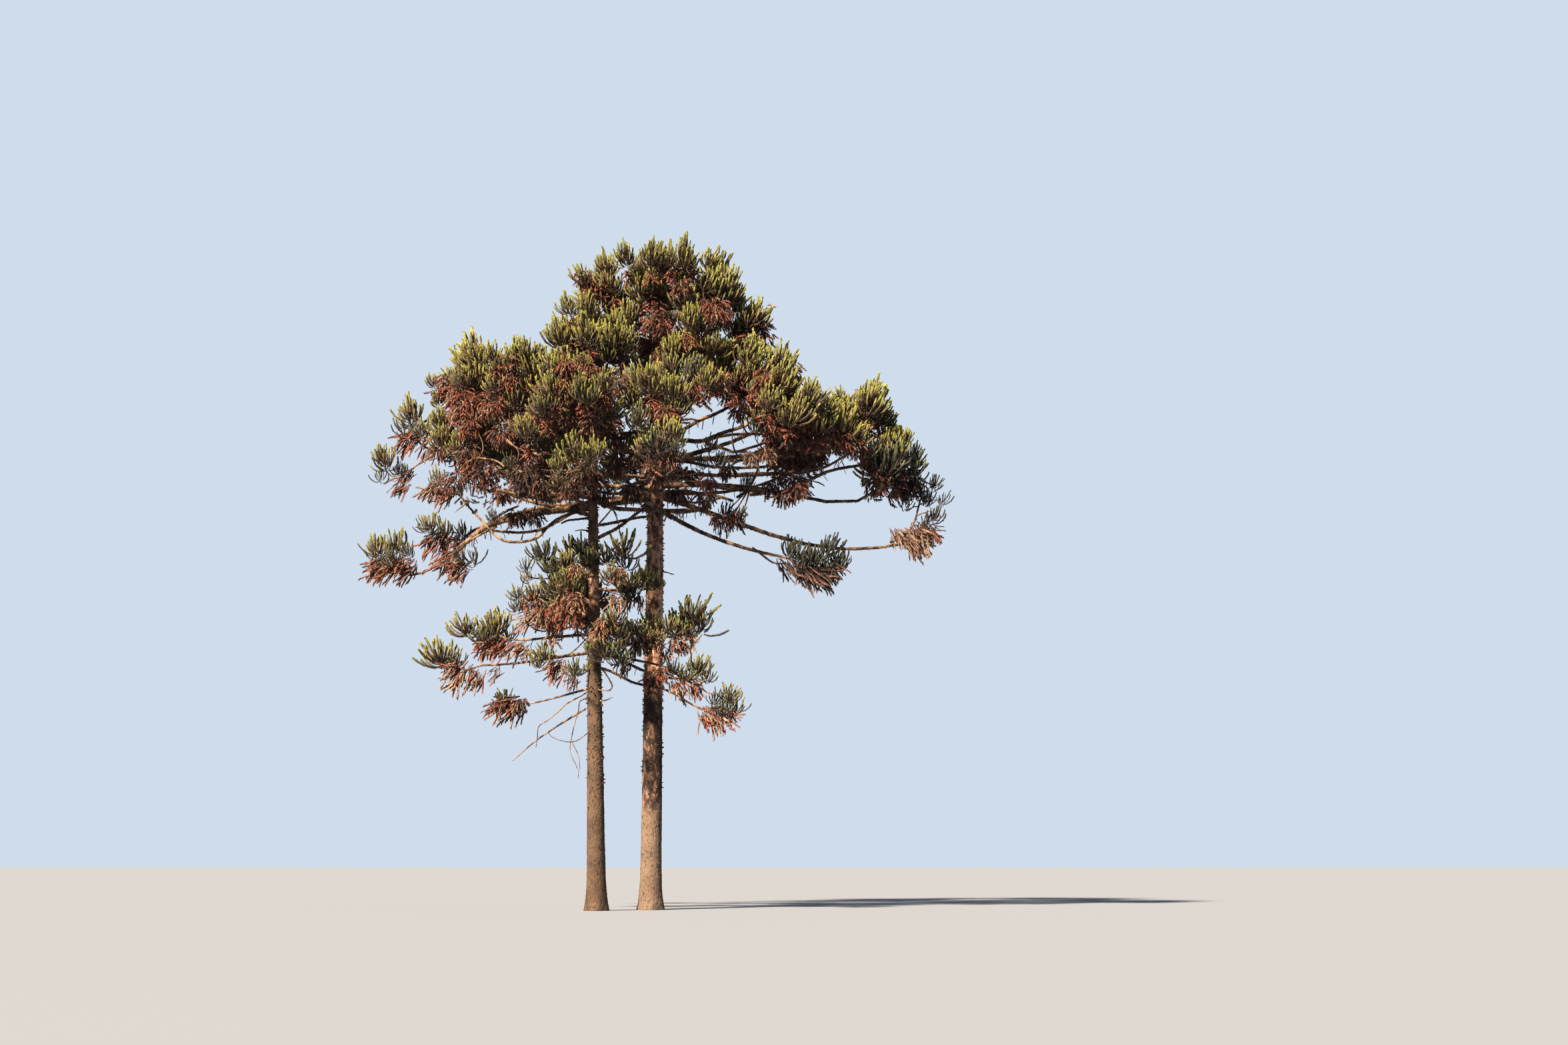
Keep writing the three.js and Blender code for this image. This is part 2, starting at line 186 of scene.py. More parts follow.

# Limbs that show bare in the photograph, read off it at depths that are guessed: first and
# last radius, how thickly dead shoots hang from the outer part, and the places that the limb passes.
SEEN_LIMBS = [
    (0.125, 0.075, 14, [
        (-2.23, -1.75, 14.57), (-3.04, -2.1, 14.29), (-3.9, -2.5, 14.11), (-4.52, -2.7, 13.93),
        (-5.25, -2.6, 13.8), (-5.88, -2.3, 13.63), (-6.35, -2.0, 13.36), (-6.8, -1.7, 13.04),
        (-7.18, -1.5, 12.73),
    ]),
    (0.1, 0.05, 8, [
        (-2.23, -1.75, 14.99), (-2.75, -2.2, 14.77), (-3.33, -2.8, 14.59), (-3.99, -3.3, 14.51),
        (-4.65, -3.7, 14.56), (-5.32, -4.0, 14.68),
    ]),
    (0.06, 0.035, 0, [
        (-2.23, -1.75, 14.33), (-2.76, -2.0, 14.21), (-3.3, -2.3, 13.92), (-3.7, -2.5, 13.55),
        (-3.97, -2.6, 13.22), (-4.39, -2.7, 13.04), (-4.98, -2.7, 13.01), (-5.39, -2.7, 13.16),
        (-5.72, -2.6, 13.46), (-6.05, -2.5, 13.82), (-6.36, -2.4, 14.15), (-6.62, -2.3, 14.43),
        (-6.84, -2.2, 14.74),
    ]),
    (0.065, 0.04, 4, [
        (-2.23, -1.75, 14.4), (-2.92, -1.3, 14.28), (-3.51, -1.0, 14.0), (-4.09, -0.8, 13.76),
        (-4.75, -0.7, 13.66), (-5.5, -0.6, 13.7), (-6.01, -0.5, 13.76), (-6.5, -0.5, 13.66),
    ]),
    (0.06, 0.03, 3, [
        (-5.93, -2.3, 13.63), (-5.5, -2.5, 13.94), (-5.08, -2.7, 14.15), (-4.67, -2.9, 14.28),
    ]),
    (0.045, 0.03, 0, [
        (-2.22, -1.75, 14.03), (-2.62, -1.9, 13.96), (-2.99, -2.0, 13.9), (-3.22, -2.1, 13.78),
    ]),
    (0.035, 0.012, 0, [(-2.21, -1.75, 13.54), (-2.51, -1.9, 13.57), (-2.75, -2.0, 13.51)]),
    (0.035, 0.012, 0, [(-6.54, -2.35, 14.55), (-6.78, -2.5, 14.3), (-7.02, -2.6, 14.09)]),
    (0.045, 0.025, 0, [
        (-5.5, -2.45, 13.61), (-6.0, -2.3, 13.39), (-6.49, -2.2, 13.14), (-6.95, -2.1, 12.88),
    ]),
    (0.05, 0.035, 0, [
        (-4.79, -4, 17.24), (-4.43, -4, 17.02), (-4.02, -4, 16.83), (-3.59, -4, 16.62),
        (-3.07, -4, 16.47), (-2.6, -4, 16.28),
    ]),
    (0.045, 0.03, 3, [
        (-6.77, -2.8, 15.66), (-6.5, -3, 15.87), (-6.15, -3, 15.99), (-5.79, -3, 15.96),
        (-5.48, -3, 15.89), (-5.21, -3, 15.7),
    ]),
    (0.045, 0.03, 0, [
        (-5.06, -3.6, 16.55), (-4.7, -3.6, 16.26), (-4.34, -3.6, 16.12), (-3.92, -3.7, 15.98),
        (-3.41, -3.8, 15.55),
    ]),
    (0.04, 0.03, 2, [(-2.26, -1.6, 15.8), (-3.13, -1.4, 15.84), (-3.88, -1.2, 15.88), (-4.76, -1, 15.96)]),
    (0.045, 0.03, 2, [
        (-2.24, -1.75, 15.51), (-3.12, -1.5, 15.57), (-3.87, -1.3, 15.64), (-4.61, -1.2, 15.7),
    ]),
    (0.045, 0.02, 2, [(-2.34, -2.0, 15.34), (-2.91, -3.0, 14.94), (-3.56, -3.6, 14.7), (-4.03, -4, 14.46)]),
    (0.075, 0.055, 0, [
        (-1.74, -3.4, 15.81), (-1.4, -3.2, 15.56), (-1.01, -3.0, 15.31), (-0.68, -2.6, 15.09),
    ]),
    (0.065, 0.05, 0, [
        (-1.78, -3.0, 16.16), (-1.45, -3.0, 16.03), (-0.96, -2.8, 15.98), (-0.61, -2.6, 15.89),
        (-0.12, -2, 15.76),
    ]),
    (0.065, 0.05, 0, [(-1.16, -3.4, 16.4), (-0.81, -3.2, 16.29), (-0.47, -3, 16.18), (0.06, -2.6, 16.16)]),
    (0.055, 0.04, 2, [
        (-2.24, -1.75, 15.06), (-1.71, -2.2, 14.89), (-1.21, -2.4, 14.8), (-0.63, -2.2, 14.91),
    ]),
    (0.085, 0.06, 6, [
        (-2.23, -1.75, 14.74), (-1.73, -1.9, 14.5), (-1.25, -1.8, 14.37), (-0.45, -1.2, 14.42),
        (0.47, -0.2, 14.55), (1.18, 0.5, 14.69), (1.91, 1.0, 14.83),
    ]),
    (0.085, 0.05, 0, [
        (-1.72, -2.0, 14.41), (-1.3, -2.2, 14.47), (-0.73, -2.4, 14.51), (-0.23, -2.4, 14.54),
        (0.21, -2.1, 14.34), (0.63, -1.8, 14.07), (0.75, -1.8, 14.0),
    ]),
    (0.09, 0.06, 9, [
        (-0.16, 0.0, 14.69), (0.21, -0.8, 14.48), (0.62, -1.2, 14.37), (1.14, -1.3, 14.33),
        (1.7, -1.3, 14.4), (2.13, -1.3, 14.52),
    ]),
    (0.07, 0.05, 4, [
        (-0.17, 0.0, 15.36), (0.25, -0.8, 15.18), (0.75, -1, 15.12), (1.25, -1.1, 15.13),
        (1.74, -1.2, 15.01), (2.42, -1.2, 14.91), (2.96, -1.2, 14.74),
    ]),
    (0.07, 0.05, 0, [
        (-2.21, -1.75, 13.15), (-1.74, -1.6, 13.42), (-1.29, -1.3, 13.71), (-0.83, -0.9, 14.14),
        (-0.38, -0.4, 14.6), (-0.04, 0, 14.94),
    ]),
    (0.06, 0.045, 0, [
        (-2.22, -1.75, 13.74), (-1.75, -1.6, 13.81), (-1.18, -1.1, 14.01), (-0.62, -0.5, 14.23),
        (-0.03, 0, 14.39),
    ]),
    (0.035, 0.025, 0, [
        (-2.17, -1.75, 13.5), (-1.77, -2.2, 13.84), (-1.45, -2.6, 14.12), (-1.25, -2.8, 14.37),
    ]),
    (0.03, 0.012, 0, [
        (-1.57, -1.5, 14.61), (-1.33, -1.4, 14.21), (-1.21, -1.4, 13.82), (-1.15, -1.4, 13.55),
    ]),
    (0.085, 0.05, 2, [
        (-0.06, 0, 17.05), (0.44, 0, 17.36), (0.96, 0, 17.58), (1.63, 0, 17.99), (2.25, 0, 18.24),
        (2.77, 0, 18.52), (3.22, 0, 18.78),
    ]),
    (0.05, 0.03, 3, [
        (-0.06, 0, 17.76), (0.71, -0.5, 17.86), (1.36, -0.7, 17.9), (1.71, -0.8, 17.83),
        (2.23, -0.4, 18.19),
    ]),
    (0.09, 0.06, 2, [
        (-0.06, 0, 17.15), (0.59, -0.6, 17.14), (1.22, -0.8, 17.07), (1.74, -1, 17.01),
        (2.16, -1.1, 17.14), (2.58, -1.2, 17.29), (3.07, -1.3, 17.42), (3.47, -1.4, 17.55),
    ]),
    (0.06, 0.045, 2, [
        (1.96, -1, 17.01), (2.34, -1.2, 17.12), (2.95, -1.3, 17.2), (3.69, -1.4, 17.2),
        (4.3, -1.4, 17.18),
    ]),
    (0.06, 0.045, 3, [
        (1.92, -1, 16.96), (2.28, -1, 16.83), (2.65, -1, 16.71), (3.02, -1, 16.61),
        (3.56, -1, 16.76), (4.05, -1, 16.93), (4.42, -1, 17.18),
    ]),
    (0.07, 0.05, 4, [
        (-0.05, 0, 16.65), (0.85, -0.3, 16.54), (1.83, -0.6, 16.44), (2.7, -0.8, 16.3),
        (3.93, -0.9, 16.38), (5.2, -1, 16.46),
    ]),
    (0.065, 0.045, 4, [
        (-0.05, 0, 16.5), (1.17, 0.4, 16.5), (1.91, 0.7, 16.4), (2.9, 0.9, 16.36),
        (4.16, 1, 16.43), (5.41, 1, 16.68),
    ]),
    (0.075, 0.05, 6, [
        (-0.05, 0, 16.24), (0.86, -0.4, 16.07), (1.72, -0.8, 15.8), (2.59, -1.1, 15.72),
        (3.44, -1.2, 15.75), (4.54, -1.3, 15.76), (5.52, -1.4, 15.84), (6.25, -1.4, 15.99),
    ]),
    (0.075, 0.05, 6, [
        (-0.05, 0, 15.74), (0.68, 0.4, 15.91), (1.41, 0.8, 15.83), (2.28, 1, 15.64),
        (3.15, 1.1, 15.55), (4.16, 1.1, 15.45), (5.21, 1, 15.49),
    ]),
    (0.07, 0.05, 5, [
        (3.55, -0.4, 15.12), (4.17, -0.6, 15.14), (4.79, -0.8, 15.18), (5.4, -0.9, 15.38),
        (5.76, -1, 15.56), (6.38, -1, 15.86), (6.99, -1, 16.01), (7.6, -1, 16.11),
        (7.97, -1, 16.31),
    ]),
    (0.055, 0.035, 4, [
        (5.27, -1.3, 15.76), (5.88, -1.3, 15.86), (6.37, -1.3, 16.01), (6.79, -1.3, 16.25),
        (7.15, -1.3, 16.45),
    ]),
    (0.055, 0.04, 0, [
        (3.11, -1.6, 14.82), (3.48, -2, 15.0), (3.7, -2.3, 15.33), (3.87, -2.4, 15.71),
        (3.87, -2.5, 15.98), (4.09, -2.6, 16.23),
    ]),
    (0.03, 0.014, 0, [(3.87, -2.5, 15.86), (3.66, -2.8, 15.93), (3.28, -3, 15.94)]),
    (0.02, 0.012, 0, [(2.07, -1.1, 17.14), (2.07, -1.2, 16.52), (2.05, -1.2, 15.88), (1.98, -1.2, 15.06)]),
    (0.035, 0.014, 0, [(0.58, -2, 15.41), (0.64, -2.1, 15.0), (0.6, -2.1, 14.64), (0.62, -2.1, 14.29)]),
    (0.045, 0.03, 1, [(3.66, -0.7, 13.09), (3.93, -0.8, 12.88), (4.4, -0.9, 12.52), (4.91, -0.9, 12.47)]),
    (0.05, 0.03, 0, [
        (8.73, 0, 13.39), (9.15, 0, 13.59), (9.45, 0, 13.86), (9.68, 0, 14.26), (9.8, 0, 14.74),
        (9.96, 0, 15.24),
    ]),
    (0.04, 0.014, 0, [(0.11, 0, 12.34), (0.39, -0.1, 12.28), (0.76, -0.2, 12.17)]),
    (0.055, 0.035, 2, [
        (-1.98, -1.65, 9.8), (-2.56, -1.8, 9.76), (-3.34, -1.9, 9.68), (-4.17, -2.0, 9.59),
        (-4.78, -1.9, 9.58), (-5.22, -1.8, 9.66), (-5.51, -1.8, 9.83),
    ]),
    (0.045, 0.03, 2, [
        (-2.27, -1.8, 9.13), (-2.95, -2.1, 8.99), (-3.66, -2.2, 8.98), (-4.14, -2.2, 9.07),
        (-4.38, -2.2, 9.21), (-4.62, -2.2, 9.41),
    ]),
    (0.028, 0.012, 0, [
        (-2.14, -1.7, 7.78), (-2.52, -1.9, 7.52), (-2.94, -2.0, 7.28), (-3.28, -2.1, 6.94),
        (-3.63, -2.1, 6.66), (-3.91, -2.1, 6.47), (-3.95, -2.1, 6.11), (-3.99, -2.1, 5.76),
    ]),
    (0.022, 0.01, 0, [
        (-2.13, -1.8, 7.53), (-2.46, -2.0, 7.37), (-2.5, -2.1, 7.04), (-2.63, -2.1, 6.59),
        (-2.72, -2.1, 6.16), (-2.79, -2.1, 5.71), (-2.73, -2.1, 5.43), (-2.59, -2.1, 5.15),
        (-2.47, -2.1, 4.86), (-2.49, -2.1, 4.63),
    ]),
    (0.018, 0.01, 0, [(-2.74, -2.1, 5.95), (-2.61, -2.2, 5.71), (-2.46, -2.2, 5.38), (-2.41, -2.2, 4.93)]),
    (0.02, 0.01, 0, [
        (-2.04, -1.8, 6.27), (-2.22, -1.9, 6.22), (-2.49, -2.0, 6.0), (-2.73, -2.0, 5.93),
        (-3.04, -2.0, 5.95), (-3.39, -2.0, 6.07), (-3.59, -2.0, 6.24),
    ]),
    (0.06, 0.038, 2, [
        (-1.97, -1.65, 9.1), (-1.29, -2.1, 8.96), (-0.92, -2.2, 8.79), (-0.44, -2.2, 8.55),
        (0.03, -2.2, 8.36), (0.51, -2.1, 8.22), (0.96, -2.1, 8.18), (1.46, -2.1, 8.25),
    ]),
    (0.05, 0.03, 0, [
        (-1.96, -1.65, 8.64), (-1.41, -2.0, 8.45), (-0.92, -2.1, 8.2), (-0.56, -2.1, 8.03),
        (0.03, -2.1, 7.89), (0.51, -2.1, 7.79), (0.87, -2.2, 7.64), (1.35, -2.3, 7.35),
        (1.71, -2.3, 7.16), (2.06, -2.3, 7.09), (2.54, -2.3, 7.16),
    ]),
    (0.03, 0.02, 0, [
        (-1.88, -1.8, 8.63), (-1.64, -2.1, 8.46), (-1.44, -2.2, 8.17), (-1.31, -2.2, 7.91),
        (-1.38, -2.2, 7.76), (-1.64, -2.0, 7.75), (-1.87, -1.8, 7.82),
    ]),
    (0.055, 0.035, 3, [
        (-2.0, -1.65, 11.44), (-1.44, -2.0, 11.37), (-1.07, -2.2, 11.28), (-0.7, -2.3, 11.31),
        (-0.39, -2.4, 11.44),
    ]),
    (0.05, 0.03, 2, [
        (-1.98, -1.65, 9.56), (-1.06, -2.0, 9.38), (-0.22, -2.1, 9.51), (0.37, -2.0, 9.67),
        (0.79, -1.9, 9.7), (1.03, -1.9, 9.82), (1.37, -1.9, 9.92), (1.7, -1.9, 10.18),
        (1.84, -1.9, 10.49),
    ]),
    (0.03, 0.02, 0, [(-2.91, -2.1, 9.01), (-2.59, -2.0, 9.28), (-2.27, -1.9, 9.63)]),
    (0.035, 0.012, 0, [(-1.95, -1.65, 7.4), (-1.57, -1.9, 7.41), (-1.28, -2.0, 7.52)]),
    (0.05, 0.03, 2, [
        (-2.0, -1.65, 11.05), (-2.51, -2.0, 10.89), (-3.08, -2.3, 10.86), (-3.66, -2.5, 10.95),
        (-4.13, -2.6, 11.11),
    ]),
    (0.04, 0.02, 0, [
        (-2.01, -1.65, 11.73), (-2.53, -2.0, 11.78), (-3.21, -2.4, 11.73), (-3.85, -2.6, 11.71),
        (-4.25, -2.7, 11.74), (-4.43, -2.8, 11.97),
    ]),
    (0.045, 0.03, 1, [
        (-1.99, -1.65, 10.57), (-2.62, -2.1, 10.4), (-3.29, -2.5, 10.35), (-3.82, -2.7, 10.5),
    ]),
    (0.06, 0.04, 0, [
        (-2.01, -1.65, 12.27), (-2.57, -2.1, 12.25), (-3.09, -2.4, 12.04), (-3.55, -2.6, 12.14),
        (-3.78, -2.7, 12.36),
    ]),
    (0.045, 0.025, 0, [
        (-2.02, -1.65, 12.63), (-1.58, -2.0, 12.75), (-1.29, -2.1, 12.88), (-1.04, -2.2, 13.11),
    ]),
    (0.02, 0.01, 0, [(9.85, 0.0, 14.81), (10.16, 0.1, 14.98), (10.48, 0.1, 15.0), (10.7, 0.1, 14.93)]),
    (0.02, 0.01, 0, [(9.93, 0.0, 15.11), (10.11, 0.0, 15.36), (10.31, 0.0, 15.52), (10.43, 0.0, 15.67)]),
    (0.02, 0.01, 0, [(9.73, 0.0, 14.39), (10.04, -0.1, 14.5), (10.29, -0.1, 14.55), (10.44, -0.1, 14.37)]),
]

# Tufts that show singly in the photograph, read off it at depths that are guessed or are the
# packed masses' own: kind, middle, width and tone. The kinds are head, a full live brush with dead
# shoots under it, live, thin, mop, a dead clump, and sweep, dead tassels that hang one way. The tone
# of live ones goes from in shade to yellow green, and that of dead ones from in shade to bleached.
TUFTS = [
    # The tips that stand clear on the left.
    ("live", -9.27, 0.2, 18.41, 1.13, 0.4), ("live", -8.68, -0.2, 17.72, 0.88, 0.3),
    ("thin", -9.41, 0.0, 17.76, 0.83, 0.1), ("sweep", -9.15, 0.0, 17.2, 1.07, 0.5),
    ("live", -10.02, -0.6, 16.51, 1.02, 0.45), ("live", -9.47, -0.4, 16.1, 0.63, 0.0),
    ("sweep", -9.19, -0.4, 15.8, 0.73, 0.2), ("sweep", -9.34, -0.6, 15.31, 0.73, 0.4),
    ("thin", -10.08, -0.7, 15.82, 0.73, 0.1), ("live", -8.33, -0.9, 14.02, 0.82, 0.35),
    ("live", -7.73, -0.6, 13.84, 0.87, 0.2), ("live", -7.08, -0.4, 13.78, 0.68, 0.1),
    ("sweep", -8.03, -0.5, 13.29, 1.07, 0.2), ("sweep", -7.23, -0.6, 13.35, 0.73, 0.3),
    ("thin", -6.57, -1.0, 12.7, 0.77, -0.1), ("sweep", -7.54, -1.0, 12.45, 1.06, 0.5),
    ("sweep", -7.02, -1.2, 12.13, 0.91, 0.4), ("thin", -6.97, -1.3, 12.61, 0.72, 0.0),
    ("live", -10.39, 0.3, 13.33, 0.98, 0.4), ("live", -9.69, 0.0, 13.39, 0.93, 0.35),
    ("live", -9.06, -0.2, 13.16, 0.73, 0.2), ("sweep", -10.3, 0.3, 12.53, 1.0, 0.5),
    ("sweep", -9.83, 0.1, 12.36, 1.17, 0.5), ("sweep", -9.18, -0.2, 12.32, 1.02, 0.3),
    ("live", -9.68, -0.4, 12.81, 0.83, 0.0), ("sweep", -7.88, -2.0, 15.02, 0.95, 0.7),
    ("sweep", -7.36, -2.2, 14.74, 0.85, 0.5),
    # The dark tuft low on the right, its shade painted into its tints.
    ("thin", 5.1, -0.9, 13.11, 0.92, -0.5),
    ("live", 5.39, -1.0, 12.9, 0.87, -0.5), ("live", 5.93, -1.2, 12.7, 0.91, -0.5),
    ("live", 6.44, -1.0, 13.17, 1.01, -0.5), ("live", 6.78, -0.9, 12.66, 0.87, -0.5),
    ("thin", 7.03, -0.8, 12.68, 0.77, -0.5), ("live", 6.27, -1.1, 12.44, 0.82, -0.5),
    ("live", 5.59, -1.0, 12.45, 0.82, -0.5), ("sweep", 4.96, -1.0, 12.31, 0.77, -0.3),
    ("sweep", 5.39, -1.1, 12.1, 0.87, -0.3), ("sweep", 5.88, -1.2, 11.89, 0.96, -0.3),
    ("sweep", 6.17, -1.1, 11.85, 0.96, -0.2), ("sweep", 6.51, -1.0, 12.21, 0.87, -0.3),
    ("sweep", 5.69, -0.8, 12.26, 0.87, -0.3), ("sweep", 6.37, -0.8, 12.09, 0.82, -0.3),
    # The umbrella's underside.
    ("live", -7.72, -1.8, 17.03, 0.95, 0.45), ("live", -7.12, -2.2, 16.77, 0.95, 0.4),
    ("live", -7.79, -1.9, 15.6, 0.71, 0.4), ("mop", -6.6, -2.4, 17.15, 0.85, 0.4),
    ("mop", -5.76, -2.6, 17.73, 0.8, 0.5), ("mop", -4.47, -3.6, 16.98, 1.03, 0.05),
    ("mop", -6.04, -2.8, 15.2, 1.22, 0.2), ("mop", -7.01, -2.4, 15.12, 0.99, 0.2),
    ("mop", -4.41, -3.8, 15.02, 1.12, -0.05), ("mop", -3.84, -3.6, 14.67, 0.84, 0.15),
    ("mop", -6.49, -2.6, 16.01, 0.85, 0.1), ("mop", -5.35, -3.2, 16.63, 0.94, 0.1),
    ("live", -4.95, -4.0, 15.75, 0.6, 0.0), ("live", -3.09, -4.6, 15.69, 0.69, 0.0),
    # These two take high tones that paint the sun on them.
    ("live", -2.37, -6.3, 15.85, 0.95, 0.75), ("live", -1.74, -6.4, 15.72, 0.95, 0.75),
    ("live", -2.05, -6.2, 15.29, 0.8, 0.6), ("mop", -2.29, -5.0, 14.67, 1.01, 0.05),
    ("mop", -1.79, -5.2, 14.77, 0.73, 0.15), ("mop", -2.73, -4.8, 14.47, 0.69, 0.05),
    ("mop", -1.95, -5.2, 16.59, 0.68, 0.7), ("mop", -1.17, -4.8, 16.27, 0.78, -0.05),
    ("mop", -0.6, -4.6, 16.35, 0.78, -0.15), ("live", -5.7, -2.8, 13.99, 0.52, -0.1),
    ("mop", -4.18, -2.6, 13.87, 0.71, -0.45), ("mop", -4.83, -2.7, 13.81, 0.61, -0.2),
    ("mop", -3.6, -4.2, 15.48, 0.69, -0.05), ("mop", -5.23, -3.4, 14.54, 0.75, 0.0),
    ("live", -0.32, -5.4, 17.09, 1.0, 0.05), ("live", 0.5, -6.2, 16.04, 0.99, -0.05),
    ("live", 1.08, -6.2, 15.76, 0.86, -0.1), ("mop", 0.91, -6.0, 15.33, 0.63, 0.15),
    ("mop", 0.29, -3.6, 15.15, 0.61, -0.25), ("mop", 0.67, -5.2, 17.04, 0.68, 0.6),
    ("mop", -0.24, -4.6, 15.64, 0.78, -0.15), ("mop", -1.12, -3.8, 15.43, 0.84, -0.45),
    ("mop", -1.8, -2.6, 14.67, 0.8, -0.45), ("mop", -0.62, -3.0, 14.61, 0.8, -0.55),
    ("mop", 1.06, -2.2, 14.74, 0.71, -0.55), ("mop", 1.39, -1.6, 15.58, 0.62, -0.45),
    ("sweep", 0.63, -2.3, 14.8, 0.47, 0.8), ("live", 2.16, -3.8, 16.41, 0.65, 0.0),
    ("live", 2.54, -3.6, 15.87, 0.75, -0.1), ("live", 1.93, -3.8, 15.79, 0.6, -0.2),
    ("mop", 2.12, -3.7, 14.94, 0.65, 0.25), ("live", 3.86, -3.4, 17.22, 0.89, 0.05),
    ("mop", 3.28, -3.2, 17.6, 0.8, 0.2), ("mop", 2.8, -2.8, 15.54, 0.56, -0.15),
    ("live", 2.77, -3.2, 14.12, 0.7, -0.2), ("mop", 2.63, -3.2, 13.59, 0.8, 0.2),
    ("mop", 3.08, -3.0, 13.67, 0.7, 0.15), ("live", 3.24, -3.0, 14.0, 0.66, -0.3),
    ("mop", 1.99, -2.6, 14.5, 0.61, -0.45), ("mop", 4.42, -1.8, 15.08, 0.72, -0.05),
    ("mop", 5.27, -2.0, 14.85, 0.81, 0.1), ("mop", 4.76, -1.9, 14.67, 0.62, -0.25),
    ("mop", 3.62, -3.0, 15.94, 0.61, 0.9), ("mop", 4.19, -3.0, 16.08, 0.56, 0.7),
    ("live", 3.46, -2.4, 15.32, 0.62, -0.5), ("mop", 4.66, -1.6, 16.64, 0.72, -0.25),
    ("mop", 7.03, -2.2, 16.63, 0.76, 0.6), ("mop", 6.47, -2.4, 16.78, 0.8, 0.6),
    # The lower whorls round the second stem.
    ("live", -6.65, -1.9, 10.16, 0.95, 0.4), ("live", -5.69, -1.8, 10.17, 1.1, 0.4),
    ("live", -5.94, -2.2, 9.79, 0.81, 0.15), ("sweep", -5.73, -1.9, 9.34, 1.1, 0.55),
    ("sweep", -5.29, -2.1, 9.22, 0.81, 0.4), ("sweep", -4.74, -2.1, 9.13, 0.86, 0.7),
    ("thin", -5.17, -1.7, 9.84, 0.72, 0.1), ("live", -7.54, -2.2, 9.17, 1.09, 0.4),
    ("thin", -6.97, -2.3, 8.94, 0.85, 0.2), ("sweep", -6.89, -2.3, 8.3, 1.09, 0.55),
    ("sweep", -6.19, -2.2, 8.17, 0.85, 0.6), ("sweep", -5.43, -2.2, 8.31, 0.57, 0.2),
    ("live", -3.76, -2.4, 9.15, 0.85, 0.3), ("sweep", -3.35, -2.3, 8.44, 0.95, 0.45),
    ("thin", -3.98, -2.5, 8.81, 0.71, 0.3), ("live", -2.51, -3.7, 8.46, 0.74, 0.2),
    ("sweep", -2.55, -3.7, 7.9, 0.65, 0.1), ("live", -5.24, -1.7, 7.64, 0.62, 0.3),
    ("sweep", -5.06, -1.7, 7.06, 1.15, 0.2), ("mop", -4.67, -1.8, 7.15, 0.62, -0.2),
    ("sweep", -5.54, -1.7, 7.16, 0.72, 0.6), ("thin", -4.43, -2.8, 12.21, 0.61, 0.2),
    ("thin", -4.31, -2.8, 11.82, 0.52, 0.3), ("live", -4.73, -2.7, 11.21, 0.57, 0.35),
    ("live", -4.12, -2.7, 11.21, 0.75, 0.3), ("live", -4.76, -2.6, 10.8, 0.61, 0.1),
    ("mop", -4.12, -2.6, 10.75, 0.9, 0.5), ("mop", -3.74, -2.7, 10.26, 1.04, 0.6),
    ("live", -3.34, -2.8, 10.8, 0.75, 0.1), ("mop", -3.01, -3.7, 10.38, 0.88, 0.5),
    ("sweep", -4.35, -2.6, 10.18, 0.8, 0.7), ("mop", -2.67, -3.7, 10.05, 0.88, 0.6),
    ("mop", -2.64, -3.7, 10.76, 0.7, 0.2), ("sweep", -3.41, -2.4, 9.89, 0.8, 0.7),
    ("live", -3.84, -2.9, 12.7, 0.89, -0.2), ("live", -3.44, -3.0, 12.2, 0.8, 0.1),
    ("live", -3.05, -2.9, 12.29, 0.89, 0.35), ("live", -2.48, -2.2, 12.97, 0.9, -0.1),
    ("thin", -2.94, -2.4, 12.84, 0.85, 0.3), ("live", -1.68, -2.2, 12.63, 0.85, -0.1),
    ("thin", -1.09, -2.2, 12.97, 1.14, 0.3), ("thin", -0.89, -2.2, 12.43, 0.81, 0.1),
    ("live", -2.31, -2.4, 12.6, 0.8, 0.0), ("live", -2.83, -3.3, 11.66, 0.98, 0.3),
    ("live", -3.43, -3.0, 11.56, 0.85, 0.25), ("live", -2.68, -3.3, 11.33, 0.89, 0.15),
    ("mop", -2.6, -3.3, 11.85, 0.56, 0.8), ("sweep", -2.87, -3.3, 11.14, 0.7, 0.6),
    ("mop", -2.49, -3.7, 10.48, 0.79, 0.3), ("mop", -1.41, -3.7, 9.87, 0.7, 0.5),
    ("live", -1.37, -3.3, 11.8, 0.75, 0.25), ("mop", -1.09, -3.3, 11.71, 0.61, 0.8),
    ("live", -0.91, -2.5, 11.62, 0.85, 0.3), ("live", -0.43, -2.5, 11.72, 0.85, 0.3),
    ("live", -0.01, -2.4, 11.83, 0.85, 0.35), ("live", -0.66, -2.5, 11.24, 0.71, 0.1),
    ("sweep", -1.14, -3.7, 10.69, 0.74, 0.8), ("sweep", -0.81, -2.4, 10.82, 0.8, 0.5),
    ("sweep", -0.38, -2.4, 10.84, 0.62, 0.2), ("live", 0.25, -2.3, 11.65, 0.62, 0.2),
    ("live", -1.27, -3.7, 10.19, 0.84, 0.3), ("live", -1.13, -3.7, 9.82, 0.88, 0.25),
    ("mop", -1.64, -3.7, 9.58, 0.7, 0.7), ("live", -1.49, -3.7, 9.16, 0.98, 0.2),
    ("live", -1.03, -3.7, 9.21, 0.7, 0.1), ("live", -0.7, -2.5, 10.0, 0.8, 0.0),
    ("mop", -0.65, -2.5, 9.57, 0.9, 0.3), ("live", -0.18, -2.4, 9.86, 0.85, 0.2),
    ("mop", -0.32, -2.3, 9.25, 0.66, 0.2), ("live", 0.27, -2.3, 9.73, 0.81, 0.3),
    ("live", -0.93, -3.7, 8.81, 0.7, 0.1), ("sweep", -0.91, -2.3, 8.54, 0.76, 0.7),
    ("mop", 0.14, -2.2, 9.36, 0.66, 0.1), ("sweep", -0.56, -2.3, 8.97, 0.57, -0.2),
    ("live", 0.02, -2.2, 10.39, 0.66, 0.1), ("live", 0.72, -2.0, 10.17, 0.81, 0.3),
